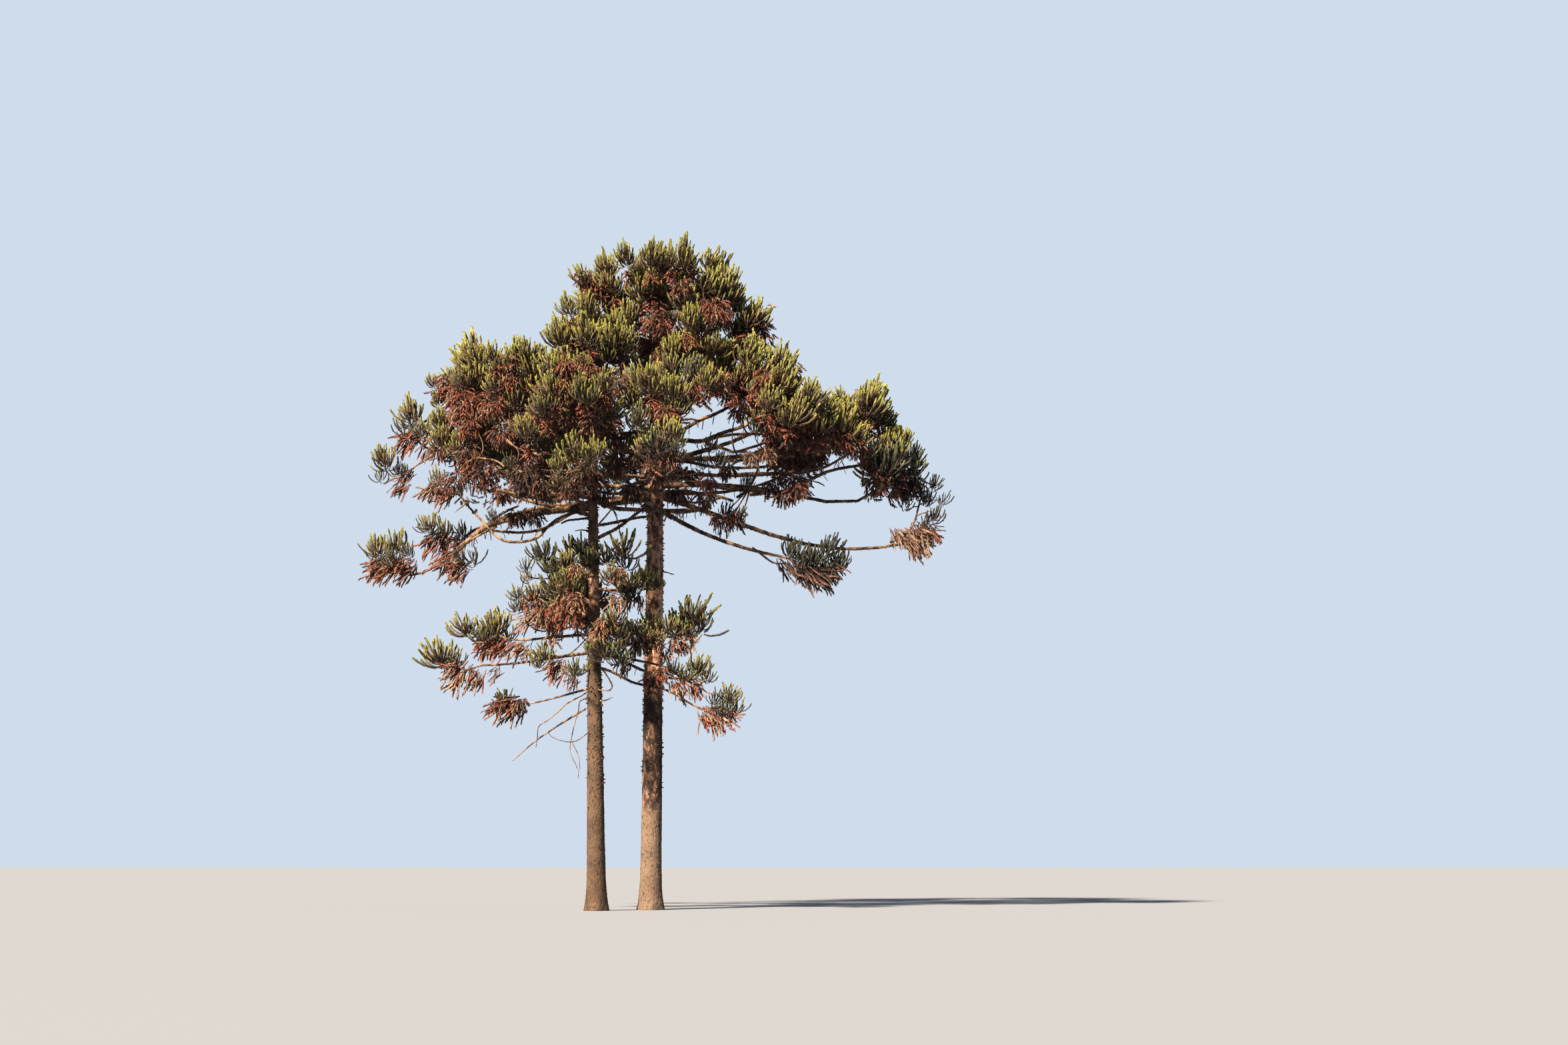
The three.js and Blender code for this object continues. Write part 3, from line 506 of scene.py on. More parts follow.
    ("thin", 1.65, -1.9, 10.73, 1.19, 0.35), ("thin", 1.94, -1.9, 10.3, 0.95, 0.2),
    ("thin", 1.46, -2.0, 9.95, 0.81, 0.1), ("sweep", 0.94, -1.9, 9.34, 0.86, 0.7),
    ("sweep", 1.46, -1.9, 9.48, 0.67, 0.6), ("sweep", 0.61, -2.0, 9.0, 0.52, 0.5),
    ("live", 1.81, -2.1, 8.7, 0.86, 0.35), ("live", 1.34, -2.2, 8.36, 0.81, 0.2),
    ("thin", 2.1, -2.1, 8.37, 0.71, 0.2), ("sweep", 1.06, -2.1, 7.75, 0.86, 0.6),
    ("sweep", 1.72, -2.1, 7.84, 0.81, 0.4), ("live", 0.86, -2.2, 8.59, 0.62, -0.1),
    ("mop", 0.39, -2.2, 8.21, 0.71, 0.3), ("mop", 0.06, -2.1, 7.98, 0.57, 0.1),
    ("live", 2.89, -2.3, 7.64, 0.81, 0.35), ("thin", 2.39, -2.3, 7.54, 0.71, -0.1),
    ("thin", 3.2, -2.3, 7.26, 0.76, 0.2), ("sweep", 2.11, -2.3, 6.74, 0.95, 0.45),
    ("sweep", 2.63, -2.3, 6.69, 0.9, 0.4), ("live", 2.59, -2.4, 7.16, 0.71, 0.0),
    ("sweep", 2.96, -2.3, 6.88, 0.66, 0.2),
    # The right shoulder's rim.
    ("live", 6.9, -1.9, 17.38, 1.05, 0.45),
    ("live", 7.53, -1.7, 17.17, 0.96, 0.4), ("live", 6.36, -2.1, 17.53, 0.86, 0.0),
    ("live", 7.98, -1.4, 16.78, 0.86, 0.2), ("mop", 6.89, -2.0, 16.67, 0.81, 0.6),
    ("mop", 7.44, -1.6, 16.59, 0.77, 0.6), ("live", 8.53, -1.0, 16.21, 1.06, -0.3),
    ("mop", 8.39, -0.8, 15.72, 0.87, 0.1), ("mop", 8.96, -0.6, 15.59, 0.82, -0.2),
    ("sweep", 8.9, -0.4, 15.17, 0.63, 0.6), ("thin", 9.65, -0.3, 16.14, 0.97, 0.2),
    ("live", 9.08, -1.0, 16.86, 0.96, 0.4),
    # The heads over the dome and the shoulders.
    ("head", -2.67, -0.7, 23.41, 0.82, 0.7),
    ("head", -1.94, -0.8, 23.92, 0.92, 0.6), ("head", -1.11, -1.6, 24.0, 0.96, 0.7),
    ("head", -1.68, -0.8, 23.18, 1.01, 0.4), ("head", -0.1, -2.0, 23.91, 1.05, 0.55),
    ("head", -0.59, -1.2, 22.97, 1.2, 0.55), ("head", 0.22, -1.4, 22.96, 0.96, 0.45),
    ("head", 0.63, -1.9, 23.77, 0.71, 0.5), ("head", 1.2, -1.4, 24.04, 1.15, 0.5),
    ("head", 0.94, -1.1, 23.1, 0.82, 0.4), ("head", 2.06, -0.7, 24.08, 0.87, 0.85),
    ("head", 2.03, -0.9, 23.2, 1.11, 0.65), ("head", 2.78, -0.4, 23.16, 1.41, 0.5),
    ("head", 2.37, -0.6, 22.72, 1.07, 0.3), ("head", -2.94, -3.7, 21.52, 0.84, 0.8),
    ("head", -1.52, 0.4, 22.42, 1.13, 0.75), ("head", 1.42, -3.7, 21.11, 1.02, 0.6),
    ("head", -3.17, -4.1, 20.42, 1.06, 0.5), ("head", -2.21, -4.2, 20.49, 1.06, 0.6),
    ("head", -1.21, -3.4, 20.49, 1.26, 0.6), ("head", -1.66, -3.6, 19.91, 1.03, 0.3),
    ("head", -2.17, -5.7, 18.95, 0.77, 0.5), ("head", 0.92, -2.7, 20.22, 1.32, 0.55),
    ("head", 2.38, -2.3, 20.39, 1.0, 0.75), ("head", 3.05, 0.5, 21.72, 1.03, 0.75),
    ("head", 3.66, -0.0, 22.16, 1.22, 0.5), ("head", 3.5, -2.3, 20.12, 1.04, 0.7),
    ("head", 2.61, -1.7, 19.78, 1.19, 0.45), ("head", -6.63, -1.1, 20.38, 1.3, 0.85),
    ("head", -5.76, -2.8, 19.9, 0.71, 0.5), ("head", -7.08, -1.3, 19.5, 1.1, 0.4),
    ("head", -5.7, -2.7, 18.94, 0.9, 0.5), ("head", -8.43, 0.4, 19.63, 0.64, 0.7),
    ("head", -8.22, 0.4, 19.02, 0.83, 0.3), ("head", -5.1, -3.2, 19.68, 0.75, 0.7),
    ("head", -4.48, -3.0, 20.0, 0.99, 0.7), ("head", -4.3, -3.0, 19.36, 0.94, 0.55),
    ("head", -3.23, -5.6, 18.93, 0.95, 0.8), ("head", -4.36, -2.8, 18.84, 0.99, 0.8),
    ("head", -3.2, -6.2, 18.08, 0.99, 0.65), ("head", -2.16, -6.4, 17.99, 0.9, 0.4),
    ("head", -3.51, -6.0, 17.49, 1.08, 0.25), ("head", -6.17, -0.1, 18.81, 1.12, 0.25),
    ("head", -4.99, -2.5, 18.34, 0.95, 0.4), ("head", -2.84, -6.0, 18.78, 0.68, 0.4),
    ("head", -6.6, -1.2, 19.52, 0.96, 0.4), ("head", -1.98, -6.4, 17.75, 0.99, 0.3),
    ("head", -1.43, -6.1, 18.05, 0.81, 0.3), ("head", 0.2, -5.3, 18.47, 1.14, 0.5),
    ("head", 0.99, -5.3, 18.16, 1.05, 0.55), ("head", 1.06, -5.1, 17.63, 1.0, 0.4),
    ("head", 2.1, -5.0, 18.59, 1.01, 0.6), ("head", -0.49, -4.7, 18.01, 0.78, 0.4),
    ("head", 4.71, -1.7, 20.11, 1.1, 0.6), ("head", 3.86, -2.2, 19.59, 1.19, 0.5),
    ("head", 4.76, -3.4, 18.92, 1.21, 0.55), ("head", 4.38, -4.0, 18.06, 0.97, 0.7),
    ("head", 5.69, -3.5, 18.37, 1.07, 0.5), ("head", 6.42, -2.7, 18.05, 0.9, 0.75),
    ("head", 6.93, -0.9, 18.43, 0.72, 0.6), ("head", 7.95, -1.3, 18.62, 1.34, 0.6),
    ("head", 7.12, -1.0, 18.01, 1.45, 0.55), ("head", 6.15, -2.9, 17.42, 1.03, 0.5),
    ("head", 5.14, -3.8, 17.67, 1.3, 0.45), ("head", 8.77, -0.8, 17.22, 1.01, 0.85),
    ("head", 9.29, -0.8, 17.3, 0.72, 0.7), ("head", 8.48, -0.8, 18.3, 0.82, 0.6),
    ("head", 8.78, -1.0, 16.44, 1.3, 0.0), ("head", 3.2, -2.0, 19.34, 1.05, 0.4),
    ("head", 3.95, -3.3, 18.68, 0.94, 0.3),
    # The dead clumps between them.
    ("mop", -2.21, -0.4, 22.77, 1.12, 0.5),
    ("mop", -2.59, -0.4, 23.19, 0.87, 0.6), ("mop", -0.49, 2.0, 22.94, 1.0, 0.3),
    ("mop", 0.03, -0.3, 22.75, 0.97, 0.2), ("mop", 1.18, -0.8, 23.38, 0.68, 0.4),
    ("mop", 1.09, -3.0, 22.18, 0.85, 0.2), ("mop", -0.02, -2.0, 21.04, 0.81, 0.3),
    ("mop", -0.42, 2.0, 21.2, 0.75, 0.3), ("mop", 2.25, -3.0, 21.34, 0.94, 0.4),
    ("mop", 2.6, -2.4, 21.29, 0.71, 0.1), ("mop", -7.12, -0.4, 18.94, 1.17, 0.5),
    ("mop", -5.0, -3.0, 19.46, 0.66, 0.6), ("mop", -2.73, -5.9, 18.55, 0.86, 0.4),
    ("mop", -5.09, -2.7, 18.74, 0.8, 0.5), ("mop", -1.99, -5.9, 18.45, 0.63, 0.5),
    ("mop", -2.71, -6.0, 17.72, 0.9, 0.1), ("mop", -7.74, -0.1, 19.21, 0.88, 0.5),
    ("mop", -7.1, -1.6, 18.23, 1.15, 0.6), ("mop", -6.42, -1.7, 17.96, 1.05, 0.4),
    ("mop", -6.98, -2.0, 17.55, 0.86, 0.6), ("mop", -3.58, -5.3, 17.04, 0.82, 0.1),
    ("mop", -5.78, 2.2, 18.6, 1.0, 0.3), ("mop", -1.46, -5.7, 17.55, 0.82, 0.1),
    ("mop", -1.06, -5.0, 18.18, 0.82, 0.2), ("mop", 1.62, -4.8, 17.98, 0.69, 0.3),
    ("mop", 2.43, -4.4, 18.31, 1.06, 0.3), ("mop", 2.8, -0.2, 18.86, 0.88, 0.2),
    ("mop", 3.43, -0.9, 18.84, 0.96, 0.6), ("mop", 3.95, -3.3, 18.17, 0.84, 0.5),
    ("mop", 4.19, -3.3, 18.8, 0.75, 0.6), ("mop", 5.1, -3.1, 17.23, 1.03, 0.45),
    ("mop", 5.74, -3.1, 17.43, 0.89, 0.5), ("mop", 4.55, -2.9, 17.05, 0.89, 0.3),
    ("mop", 5.15, -2.4, 16.78, 1.09, 0.1), ("mop", 5.76, -1.8, 16.78, 1.05, 0.0),
    ("mop", 4.66, 0.8, 16.65, 0.89, -0.15), ("mop", 5.41, 0.7, 16.37, 0.89, 0.0),
    ("mop", 6.44, 2.1, 17.35, 0.75, 0.5), ("mop", 7.88, -0.1, 16.48, 0.73, 0.6),
    ("mop", 8.12, -0.2, 16.21, 0.73, 0.3), ("mop", 8.73, -0.5, 16.1, 0.73, 0.4),
    ("mop", 9.16, 0.9, 15.39, 0.64, 0.5),
    # The right tip, far out.
    ("live", 10.4, 0.0, 15.66, 0.68, -0.3),
    ("thin", 10.73, 0.1, 15.05, 0.64, -0.4), ("live", 10.36, -0.1, 14.47, 0.73, -0.3),
    ("live", 10.16, 0.1, 15.16, 0.78, -0.3), ("thin", 10.14, 0.0, 14.14, 0.73, -0.3),
    ("mop", 9.64, 0.0, 15.39, 0.78, -0.3), ("mop", 9.41, -0.1, 15.22, 0.63, -0.3),
    ("live", 9.71, 0.0, 15.64, 0.78, -0.4), ("thin", 9.36, -0.1, 14.92, 0.73, -0.4),
    ("sweep", 9.11, 0.1, 13.6, 0.78, 0.9), ("sweep", 9.45, 0.0, 13.44, 0.98, 0.9),
    ("sweep", 9.88, -0.2, 13.41, 1.07, 0.9), ("sweep", 9.7, 0.2, 13.22, 0.88, 0.9),
    ("sweep", 10.29, 0.0, 13.69, 0.83, 0.2), ("sweep", 10.0, 0.1, 13.85, 0.83, 0.2),
    # In front of the second stem, in a painted pool of sun: their high tones paint the sunlight that
    # reaches in there.
    ("live", -2.98, -6.2, 15.3, 0.75, 0.8), ("live", -3.05, -4.8, 14.95, 0.7, 0.3),
    # Behind the left shoulder, where a hole would show from above.
    ("head", -4.6, 1.9, 17.9, 1.3, 0.5), ("head", -3.5, 2.6, 18.2, 1.3, 0.5),
    ("head", -5.7, 2.8, 17.5, 1.3, 0.5), ("head", -4.3, 3.6, 17.6, 1.2, 0.4),
    ("mop", -5.0, 1.4, 17.1, 1.0, 0.5), ("head", -6.3, 1.6, 17.3, 1.2, 0.5),
    ("head", -2.6, 1.5, 18.6, 1.2, 0.4), ("mop", -3.9, 2.9, 17.2, 0.9, 0.3),
    # Between the second stem's top and the dome, where a cleft would show from the sides.
    ("head", -1.5, -2.0, 21.2, 1.2, 0.4), ("head", -1.0, -2.6, 20.6, 1.1, 0.4),
    ("head", -2.3, -1.5, 21.5, 1.1, 0.5), ("mop", -1.6, -1.6, 20.4, 1.0, 0.4),
    ("head", -1.1, -1.1, 21.9, 1.1, 0.4),
]
# A brush of live shoots: how far its shoots reach, how many it has, and how much lower its outer
# ones set out than its inner ones, as a share of its reach, in the umbrella and in the lower whorls.
BRUSH_REACH = 0.95
BRUSH_SHOOTS = 54
RISE = 0.4
LOW_RISE = 0.15
# The live shoots of a tuft one metre wide, and how fast their number grows with its width.
TUFT_SHOOTS = {"head": 52, "live": 40, "thin": 22}
TUFT_GROWTH = 1.2
# The dead shoots under a live brush, in a dead one, in a sweep one metre wide, and inside a mass for
# each of its brushes. A few of a dead one's are long tassels: their share.
UNDER_SHOOTS = 12
MOP_SHOOTS = 56
SWEEP_SHOOTS = 34
INNER_SHOOTS = 14
MOP_REACH = 0.72
MOP_REACH_SPREAD = 0.2
TASSEL_SHARE = 0.22
# The crown's surface that one brush covers, in square metres, and the least room between two.
BRUSH_COVERS = 0.95
BRUSH_ROOM = 0.74
# A brush is left out where its tip lies deeper than this in another mass.
BURIED = 0.7
# The dome's top is flat: the greatest height of a brush's tip.
HIGHEST = 24.45


def paint(hex_colour):
    """A colour written in the usual way, as the linear values that shaders take."""
    parts = [int(hex_colour[i:i + 2], 16) / 255 for i in (1, 3, 5)]
    linear = [c / 12.92 if c <= 0.04045 else ((c + 0.055) / 1.055) ** 2.4 for c in parts]
    return (*linear, 1.0)


class Wire:
    """A value in a node tree. Arithmetic on it adds Math nodes."""

    def __init__(self, maker, socket):
        self.maker = maker
        self.socket = socket

    def math(self, operation, first, second):
        values = {0: first, 1: second}
        return self.maker.add("ShaderNodeMath", values, operation=operation)

    def __add__(self, other):
        return self.math("ADD", self, other)

    def __radd__(self, other):
        return self.math("ADD", other, self)

    def __sub__(self, other):
        return self.math("SUBTRACT", self, other)

    def __rsub__(self, other):
        return self.math("SUBTRACT", other, self)

    def __mul__(self, other):
        return self.math("MULTIPLY", self, other)

    def __rtruediv__(self, other):
        return self.math("DIVIDE", other, self)

    def beside(self, name):
        """Another output of the same node."""
        return Wire(self.maker, self.socket.node.outputs[name])


class Maker:
    """Adds nodes to a tree."""

    def __init__(self, tree):
        self.tree = tree

    def add(self, kind, values=None, output=0, stops=None, **settings):
        """A node of a kind, with its settings made first and then its sockets' values or links."""
        node = self.tree.nodes.new(kind)
        for key, value in settings.items():
            setattr(node, key, value)
        if stops:
            while len(node.color_ramp.elements) < len(stops):
                node.color_ramp.elements.new(0.5)
            for element, (place, colour) in zip(node.color_ramp.elements, stops):
                element.position = place
                element.color = colour
        shown = [socket for socket in node.inputs if socket.enabled]
        for key, value in (values or {}).items():
            socket = shown[key] if isinstance(key, int) else next(s for s in shown if s.name == key)
            if isinstance(value, Wire):
                self.tree.links.new(value.socket, socket)
            else:
                socket.default_value = value
        results = [socket for socket in node.outputs if socket.enabled]
        if not results:
            return node
        return Wire(self, results[output] if isinstance(output, int) else node.outputs[output])

    def mix(self, share, first, second):
        """A colour between two others."""
        values = {"Factor": share, "A": first, "B": second}
        return self.add("ShaderNodeMix", values, data_type="RGBA")

    def attribute(self, name, kind="FLOAT"):
        return self.add("GeometryNodeInputNamedAttribute", {"Name": name}, data_type=kind)

    def joined(self, *parts):
        whole = self.add("GeometryNodeJoinGeometry", {"Geometry": parts[0]})
        for part in parts[1:]:
            self.tree.links.new(part.socket, whole.socket.node.inputs["Geometry"])
        return whole

    def studs(self, surface, density, least, most):
        """Small blunt cones that stand out of a surface, with a scale between two vectors."""
        points = self.add(
            "GeometryNodeDistributePointsOnFaces", {"Mesh": surface, "Density": density, "Seed": 5},
        )
        cone = self.add(
            "GeometryNodeMeshCone", {"Vertices": 4, "Radius Top": 0.25, "Radius Bottom": 0.6, "Depth": 1.6},
        )
        size = self.add(
            "FunctionNodeRandomValue", {"Min": least, "Max": most, "Seed": 9}, data_type="FLOAT_VECTOR",
        )
        return self.add(
            "GeometryNodeInstanceOnPoints",
            {"Points": points, "Instance": cone, "Rotation": points.beside("Rotation"), "Scale": size},
        )


def plain_material(name, colour, roughness):
    material = bpy.data.materials.new(name)
    material.use_nodes = True
    shader = material.node_tree.nodes["Principled BSDF"]
    shader.inputs["Base Color"].default_value = paint(colour)
    shader.inputs["Roughness"].default_value = roughness
    return material


def stops_at(places, colours):
    """A ramp's stops: a painted colour at each place."""
    return [(place, paint(colour)) for place, colour in zip(places, colours)]


def bark_material(name, tones, zones, grain_scale, relief):
    """Rough bark: fine upright grain between dark cracks, and blotched zones that start at a height, whose
    tones can paint dapples of sun and shade.
    """
    material = bpy.data.materials.new(name)
    material.use_nodes = True
    maker = Maker(material.node_tree)
    shader = material.node_tree.nodes["Principled BSDF"]
    place = maker.add("ShaderNodeTexCoord", output="Object")
    tall = maker.add("ShaderNodeMapping", {"Vector": place, "Scale": (1, 1, 0.45)})
    patches = maker.add("ShaderNodeTexNoise", {"Vector": place, "Scale": 1.4, "Detail": 4})
    grain = maker.add(
        "ShaderNodeTexNoise", {"Vector": tall, "Scale": grain_scale, "Detail": 6, "Roughness": 0.7},
    )
    plates = maker.add("ShaderNodeTexVoronoi", {"Vector": tall, "Scale": grain_scale * 0.8}, feature="F1")
    tone = maker.add(
        "ShaderNodeValToRGB",
        {"Fac": patches * 0.5 + grain * 0.5},
        stops=stops_at((0.38, 0.47, 0.54, 0.63), tones),
    )
    crack = maker.add(
        "ShaderNodeValToRGB",
        {"Fac": plates * 0.55 + grain * 0.5},
        stops=[(0.56, (0, 0, 0, 1)), (0.74, (1, 1, 1, 1))],
    )
    shade = maker.mix(crack, tone, paint(tones[-1]))
    height = maker.add("ShaderNodeSeparateXYZ", {"Vector": place}, output="Z")
    blotches = maker.add(
        "ShaderNodeTexNoise", {"Vector": tall, "Scale": 3.6, "Detail": 6, "Roughness": 0.68},
    )
    # Each zone's tones can paint dapples of sun and shade over the bark.
    for *blotch_tones, starts, whole in zones:
        blotched = maker.add(
            "ShaderNodeValToRGB",
            {"Fac": blotches * 0.75 + grain * 0.25},
            stops=stops_at((0.45, 0.5, 0.55), blotch_tones),
        )
        uneven = height + patches * 1.6 - 0.8
        share = maker.add("ShaderNodeMapRange", {"Value": uneven, "From Min": starts, "From Max": whole})
        shade = maker.mix(share, shade, blotched)
    bump = maker.add(
        "ShaderNodeBump",
        {"Height": grain - plates * 0.4, "Strength": 0.6, "Distance": relief},
    )
    links = material.node_tree.links
    links.new(shade.socket, shader.inputs["Base Color"])
    links.new(bump.socket, shader.inputs["Normal"])
    shader.inputs["Roughness"].default_value = 0.92
    return material


# What the trees read on their source meshes, which no finished piece needs.
WORKING_VALUES = ("turn", "reach", "shape", "tint", "part", "thick")


def new_object(name, mesh):
    piece = bpy.data.objects.new(name, mesh)
    bpy.context.scene.collection.objects.link(piece)
    return piece


def grown(name, source, tree, values):
    """The plain mesh that a geometry node tree makes from a source mesh, as an object."""
    piece = new_object(name, source)
    modifier = piece.modifiers.new(name, "NODES")
    modifier.node_group = tree
    for item in tree.interface.items_tree:
        if item.in_out == "INPUT" and item.name in values:
            modifier[item.identifier] = values[item.name]
    graph = bpy.context.evaluated_depsgraph_get()
    mesh = bpy.data.meshes.new_from_object(piece.evaluated_get(graph))
    piece.modifiers.clear()
    piece.data = mesh
    mesh.name = name
    for attribute in [a.name for a in mesh.attributes if a.name in WORKING_VALUES]:
        mesh.attributes.remove(mesh.attributes[attribute])
    return piece


def shown_with(piece, slot, *nodes):
    """Puts a finished piece on the tree's body and hides the solids that it stands for. The slot is not
    used.
    """
    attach(piece, BODY)
    if nodes:
        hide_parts(*nodes)
    return piece


def new_tree(name, sockets):
    """An empty geometry node tree, its maker and its named inputs."""
    tree = bpy.data.node_groups.new(name, "GeometryNodeTree")
    tree.interface.new_socket("Geometry", in_out="INPUT", socket_type="NodeSocketGeometry")
    for socket_name, kind in sockets.items():
        tree.interface.new_socket(socket_name, in_out="INPUT", socket_type=kind)
    tree.interface.new_socket("Geometry", in_out="OUTPUT", socket_type="NodeSocketGeometry")
    maker = Maker(tree)
    inputs = tree.nodes.new("NodeGroupInput")
    given = {socket.name: Wire(maker, socket) for socket in inputs.outputs if socket.name}
    return tree, maker, given


def ends_with(maker, geometry):
    maker.add("NodeGroupOutput", {"Geometry": geometry})


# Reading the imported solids.


def corners_of(name):
    """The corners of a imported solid's triangles."""
    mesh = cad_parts[name].data
    mesh.calc_loop_triangles()
    places = np.array([v.co for v in mesh.vertices])
    return places[np.array([t.vertices for t in mesh.loop_triangles])]


def section(corners, way, level):
    """Middle and radius of the outline where a plane square to a direction cuts a solid."""
    heights = corners @ way - level
    middle = np.zeros(3)
    around = 0.0
    for triangle, height in zip(corners, heights):
        ends = []
        for a, b in ((0, 1), (1, 2), (2, 0)):
            if (height[a] < 0) != (height[b] < 0):
                ends.append(triangle[a] + (triangle[b] - triangle[a]) * height[a] / (height[a] - height[b]))
        if len(ends) == 2:
            length = np.linalg.norm(ends[0] - ends[1])
            middle += length * (ends[0] + ends[1]) / 2
            around += length
    return Vector(middle / around), around / math.tau


def centre_line(name, start, steps):
    """The middles and radii along a packed limb, from the end nearest to a point."""
    corners = corners_of(name)
    places = corners.reshape(-1, 3)
    away = np.linalg.norm(places - np.array(start), axis=1)
    near, far = places[away.argmin()], places[away.argmax()]
    way = (far - near) / np.linalg.norm(far - near)
    spans = places @ way
    margin = 0.03 * (spans.max() - spans.min())
    levels = np.linspace(spans.min() + margin, spans.max() - margin, steps)
    return [section(corners, way, level) for level in levels]


class Stem:
    """A stem's axis and radius at any height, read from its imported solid."""

    def __init__(self, name):
        corners = corners_of(name)
        self.height = corners[..., 2].max()
        way = np.array((0.0, 0.0, 1.0))
        self.levels = np.linspace(0.01, self.height - 0.01, 60)
        cuts = [section(corners, way, level) for level in self.levels]
        self.middles = np.array([middle for middle, radius in cuts])
        self.radii = np.array([radius for middle, radius in cuts])

    def at(self, height):
        place = [np.interp(height, self.levels, self.middles[:, i]) for i in (0, 1)]
        return Vector((*place, height))

    def radius(self, height):
        return float(np.interp(height, self.levels, self.radii))


STEMS = {"main": Stem("main_stem"), "second": Stem("second_stem")}


class Mass:
    """A mass of foliage: where it is, how large, and the limbs and brushes that fill it."""

    def __init__(self, name, dead_share, tone):
        low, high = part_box(f"foliage_{name}")
        self.name = name
        self.dead_share = dead_share
        self.tone = tone
        self.middle = (Vector(low) + Vector(high)) / 2
        self.half = (Vector(high) - Vector(low)) / 2
        self.brushes = []

    def depth(self, place):
        """0 at the middle of the mass and 1 on its surface."""
        away = place - self.middle
        return Vector([away[i] / self.half[i] for i in range(3)]).length

    def is_dead(self, out):
        """Whether a brush that faces out this way has died: the lower, the likelier."""
        return chance.random() < self.dead_share * (1.35 - out.z)

    def area(self):
        """The surface of the ellipsoid that fills the mass's box, to about one part in a hundred."""
        a, b, c = self.half
        power = 1.6
        mean = ((a * b) ** power + (a * c) ** power + (b * c) ** power) / 3
        return 4 * math.pi * mean ** (1 / power)


MASSES = {row[0]: Mass(*row) for rows in CROWN_PARTS.values() for row in rows}
for name in TIPS:
    MASSES[name] = Mass(name, 0, 0)
BOUGHS = [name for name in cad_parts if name.startswith("bough_")]
LOW = [name for name in MASSES if name.startswith("low_")]
SECOND_STEM_MASSES = {
    *LOW, "second_top", "left_inner", "front_left", "left_skirt", "left_front_rim", "front_rim_left",
}


# Limbs and twigs, each a line of places with a radius at each.


def bezier(start, start_way, end, end_way, steps):
    """A smooth line from one place to another that sets out and arrives along given vectors."""
    first = start + start_way
    second = end - end_way
    line = []
    for i in range(steps + 1):
        t = i / steps
        s = 1 - t
        line.append(start * s**3 + first * (3 * s * s * t) + second * (3 * s * t * t) + end * t**3)
    return line


def tapered(line, first, last):
    steps = len(line) - 1
    return [(place, first + (last - first) * i / steps) for i, place in enumerate(line)]


class Limbs:
    """Lines of limbs that become one mesh of tubes."""

    def __init__(self):
        self.lines = []

    def add(self, line):
        self.lines.append(line)

    def source(self, name):
        """The lines as a mesh of edges with the radius at each vertex."""
        places, edges, radii = [], [], []
        for line in self.lines:
            first = len(places)
            places += [tuple(place) for place, radius in line]
            radii += [radius for place, radius in line]
            edges += [(first + i, first + i + 1) for i in range(len(line) - 1)]
        mesh = bpy.data.meshes.new(name)
        mesh.from_pydata(places, edges, [])
        thick = mesh.attributes.new("thick", "FLOAT", "POINT")
        thick.data.foreach_set("value", radii)
        return mesh


def limb_tree():
    """Tubes along lines: the rings stand a step apart, and noise roughens them."""
    tree, maker, given = new_tree(
        "limb_tubes",
        {
            "Sides": "NodeSocketInt",
            "Step": "NodeSocketFloat",
            "Relief": "NodeSocketFloat",
            "Grain": "NodeSocketFloat",
            "Stubs": "NodeSocketFloat",
            "Finish": "NodeSocketMaterial",
        },
    )
    curve = maker.add("GeometryNodeMeshToCurve", {"Mesh": given["Geometry"]})
    curve = maker.add("GeometryNodeResampleCurve", {"Curve": curve, "Length": given["Step"]}, mode="LENGTH")
    ring = maker.add("GeometryNodeCurvePrimitiveCircle", {"Resolution": given["Sides"], "Radius": 1.0})
    tube = maker.add(
        "GeometryNodeCurveToMesh",
        {"Curve": curve, "Profile Curve": ring, "Scale": maker.attribute("thick"), "Fill Caps": True},
    )
    noise = maker.add("ShaderNodeTexNoise", {"Scale": given["Grain"], "Detail": 3.0, "Roughness": 0.7})
    push = (noise - 0.5) * given["Relief"] * maker.attribute("thick") * 2
    normal = maker.add("GeometryNodeInputNormal")
    offset = maker.add("ShaderNodeVectorMath", {"Vector": normal, "Scale": push}, operation="SCALE")
    tube = maker.add("GeometryNodeSetPosition", {"Geometry": tube, "Offset": offset})
    upward = maker.add("ShaderNodeSeparateXYZ", {"Vector": normal}, output="Z")
    stubs = maker.studs(tube, given["Stubs"] * (0.8 - upward), (0.012, 0.012, 0.01), (0.024, 0.024, 0.032))
    tube = maker.add("GeometryNodeRealizeInstances", {"Geometry": maker.joined(tube, stubs)})
    tube = maker.add("GeometryNodeSetMaterial", {"Geometry": tube, "Material": given["Finish"]})
    ends_with(maker, tube)
    return tree


LIMB_TREE = limb_tree()


# Shoots.


